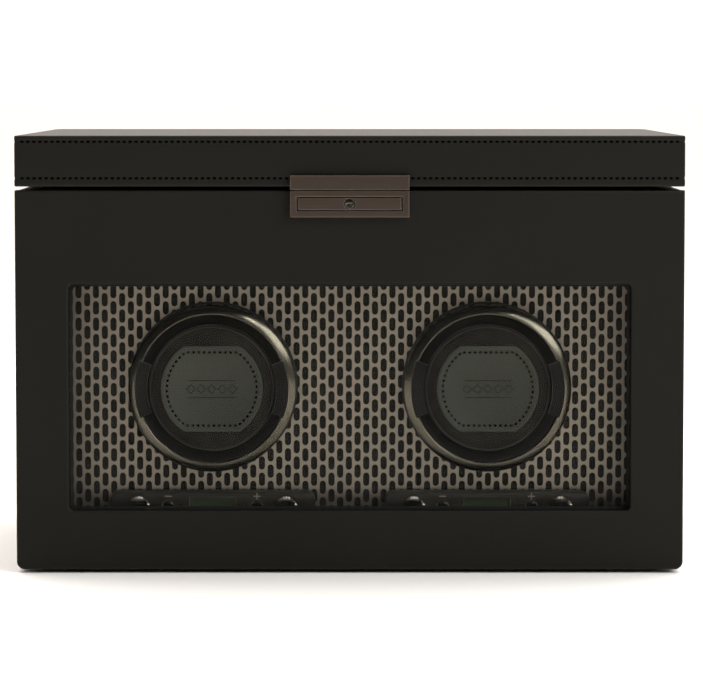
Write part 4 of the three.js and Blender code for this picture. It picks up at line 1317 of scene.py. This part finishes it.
def blow_up(bm, pressure=4.0, frames=20, voxel=4 * MM):
    """Returns the bmesh blown up as a closed cloth bag, with no point moved past the cap."""
    bag = make_object(bm, "bag")
    grid = bag.modifiers.new("even_mesh", "REMESH")
    grid.mode = "VOXEL"
    grid.voxel_size = voxel
    bpy.context.view_layer.update()
    apply_modifiers(bag)
    start = [vertex.co.copy() for vertex in bag.data.vertices]
    cloth = bag.modifiers.new("stuffing", "CLOTH")
    cloth.settings.use_pressure = True
    cloth.settings.uniform_pressure_force = pressure
    cloth.settings.effector_weights.gravity = 0
    for number in range(1, frames + 1):
        bpy.context.scene.frame_set(number)
    apply_modifiers(bag)
    bpy.context.scene.frame_set(1)
    for vertex, was in zip(bag.data.vertices, start):
        move = vertex.co - was
        if move.length > CUSHION_CAP:
            vertex.co = was + move.normalized() * CUSHION_CAP
    blown = bmesh.new()
    blown.from_mesh(bag.data)
    bpy.data.objects.remove(bag)
    bmesh.ops.smooth_vert(
        blown, verts=blown.verts, factor=0.4, use_axis_x=True, use_axis_y=True, use_axis_z=True
    )
    return blown


def fit_inside(bm, low, high):
    """Scales a shape about its middle so that it just fills a box."""
    least = Vector(min(vertex.co[i] for vertex in bm.verts) for i in range(3))
    most = Vector(max(vertex.co[i] for vertex in bm.verts) for i in range(3))
    middle = (least + most) / 2
    bmesh.ops.translate(bm, vec=-middle, verts=bm.verts)
    size = [(high[i] - low[i]) / (most[i] - least[i]) for i in range(3)]
    bmesh.ops.scale(bm, vec=size, verts=bm.verts)
    bmesh.ops.translate(bm, vec=(Vector(low) + Vector(high)) / 2, verts=bm.verts)
    return bm


def stuffed_cushion():
    low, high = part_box("watch_cushion_middle")
    shy = Vector((CUSHION_START, CUSHION_START, CUSHION_START))
    bag = blow_up(start_rounded_box(low + shy, high - shy, CUSHION_CORNER, 3))
    return fit_inside(bag, low + Vector((0.2, 0.2, 0)) * MM, high - Vector((0.2, 0.2, 0.1)) * MM)


def add_cushions():
    pattern = bpy.data.meshes.new("cushion_pattern")
    bag = stuffed_cushion()
    bag.to_mesh(pattern)
    bag.free()
    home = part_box("watch_cushion_middle")
    for place in ("left", "middle", "right"):
        node = f"watch_cushion_{place}"
        low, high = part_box(node)
        bm = bmesh.new()
        bm.from_mesh(pattern)
        bmesh.ops.translate(bm, vec=low - home[0], verts=bm.verts)
        cushion = finish_piece(
            bm, f"{node}_leather", cushion_leather, "case", (node,), sharp=180
        )
        finer = cushion.modifiers.new("finer", "SUBSURF")
        finer.levels = finer.render_levels = 1
        print(node, "size in mm:", [round(v / MM, 1) for v in high - low])


add_cushions()

# %% [markdown]
# The lid is lined with a thin padded panel of suede. It's quilted into squares by rows of
# stitching that pull the suede down, so each square is a low pillow.


# %% Quilted lid lining
LINING_BOARD = 1.5 * MM


def quilted_lining(columns=8, rows=5, divisions=10):
    low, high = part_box("lid_lining")
    bm = bmesh.new()
    bmesh.ops.create_grid(bm, x_segments=columns * divisions, y_segments=rows * divisions, size=0.5)
    bmesh.ops.scale(bm, vec=(high.x - low.x, high.y - low.y, 1), verts=bm.verts)
    middle = (low + high) / 2
    bmesh.ops.translate(bm, vec=(middle.x, middle.y, high.z - LINING_BOARD), verts=bm.verts)
    depth = high.z - LINING_BOARD - low.z
    for vertex in bm.verts:
        u = (vertex.co.x - low.x) / (high.x - low.x) * columns
        v = (vertex.co.y - low.y) / (high.y - low.y) * rows
        puff = abs(math.sin(math.pi * u)) ** 0.3 * abs(math.sin(math.pi * v)) ** 0.3
        vertex.co.z -= depth * puff
    rim = [edge for edge in bm.edges if edge.is_boundary]
    skirt = bmesh.ops.extrude_edge_only(bm, edges=rim)["geom"]
    bmesh.ops.translate(bm, vec=(0, 0, LINING_BOARD), verts=points_in(skirt))
    top = [item for item in skirt if isinstance(item, bmesh.types.BMEdge) and item.is_boundary]
    bmesh.ops.edgeloop_fill(bm, edges=top)
    bmesh.ops.recalc_face_normals(bm, faces=bm.faces)
    lining = finish_piece(
        bm, "quilted_lid_lining", lining_suede, "lid", ("lid_lining",), sharp=80
    )
    level = high.z - 1.7 * MM
    across = [low.x + (high.x - low.x) * i / columns for i in range(1, columns)]
    along = [low.y + (high.y - low.y) * i / rows for i in range(1, rows)]
    seams = [((x, low.y, level), (x, high.y, level)) for x in across]
    seams += [((low.x, y, level), (high.x, y, level)) for y in along]
    thread = bmesh.new()
    for ends in seams:
        row = bmesh.new()
        sew(row, walk(ends, 4.5 * MM, closed=False), (0, 0, -1), 3 * MM, 0.7 * MM, 0.7 * MM)
        take_in(thread, row)
    finish_piece(thread, "lining_stitches", black_thread, "lid")
    return lining


print("lining:", len(quilted_lining().data.polygons), "faces")

# %% [markdown]
# The tray, the hinge, the pins and the drive are made as the CAD has them, and only get their
# finishes and slightly rounded edges.


# %% Tray, hinge, pins and drive
round_cad_edges("storage_tray", lining_suede, 0.9, 3)
round_cad_edges("hinge_case_leaf", gunmetal, 0)
round_cad_edges("hinge_lid_leaf", gunmetal, 0)
for pivot in SIDES:
    round_cad_edges(f"door_pivot_{pivot}", mild_steel, 0.2)
for side in SIDES:
    round_cad_edges(f"{side}_module_housing", black_abs, 0.6)
    round_cad_edges(f"{side}_drum_spindle", mild_steel, 0)
    round_cad_edges(f"{side}_spindle_bush", turned_brass, 0)
    round_cad_edges(f"{side}_motor", mild_steel, 0.4)
    round_cad_edges(f"{side}_motor_pulley", black_abs, 0)
    round_cad_edges(f"{side}_drive_belt", belt_rubber, 0)

# %% [markdown]
# ## The floor
#
# A pale painted floor carries the box and its soft shadow. It belongs to the studio, not to the
# box.

# %% Floor
floor_bm = bmesh.new()
bmesh.ops.create_grid(floor_bm, x_segments=1, y_segments=1, size=30)
floor = make_object(floor_bm, "studio_floor")
floor.data.materials.append(floor_paint)
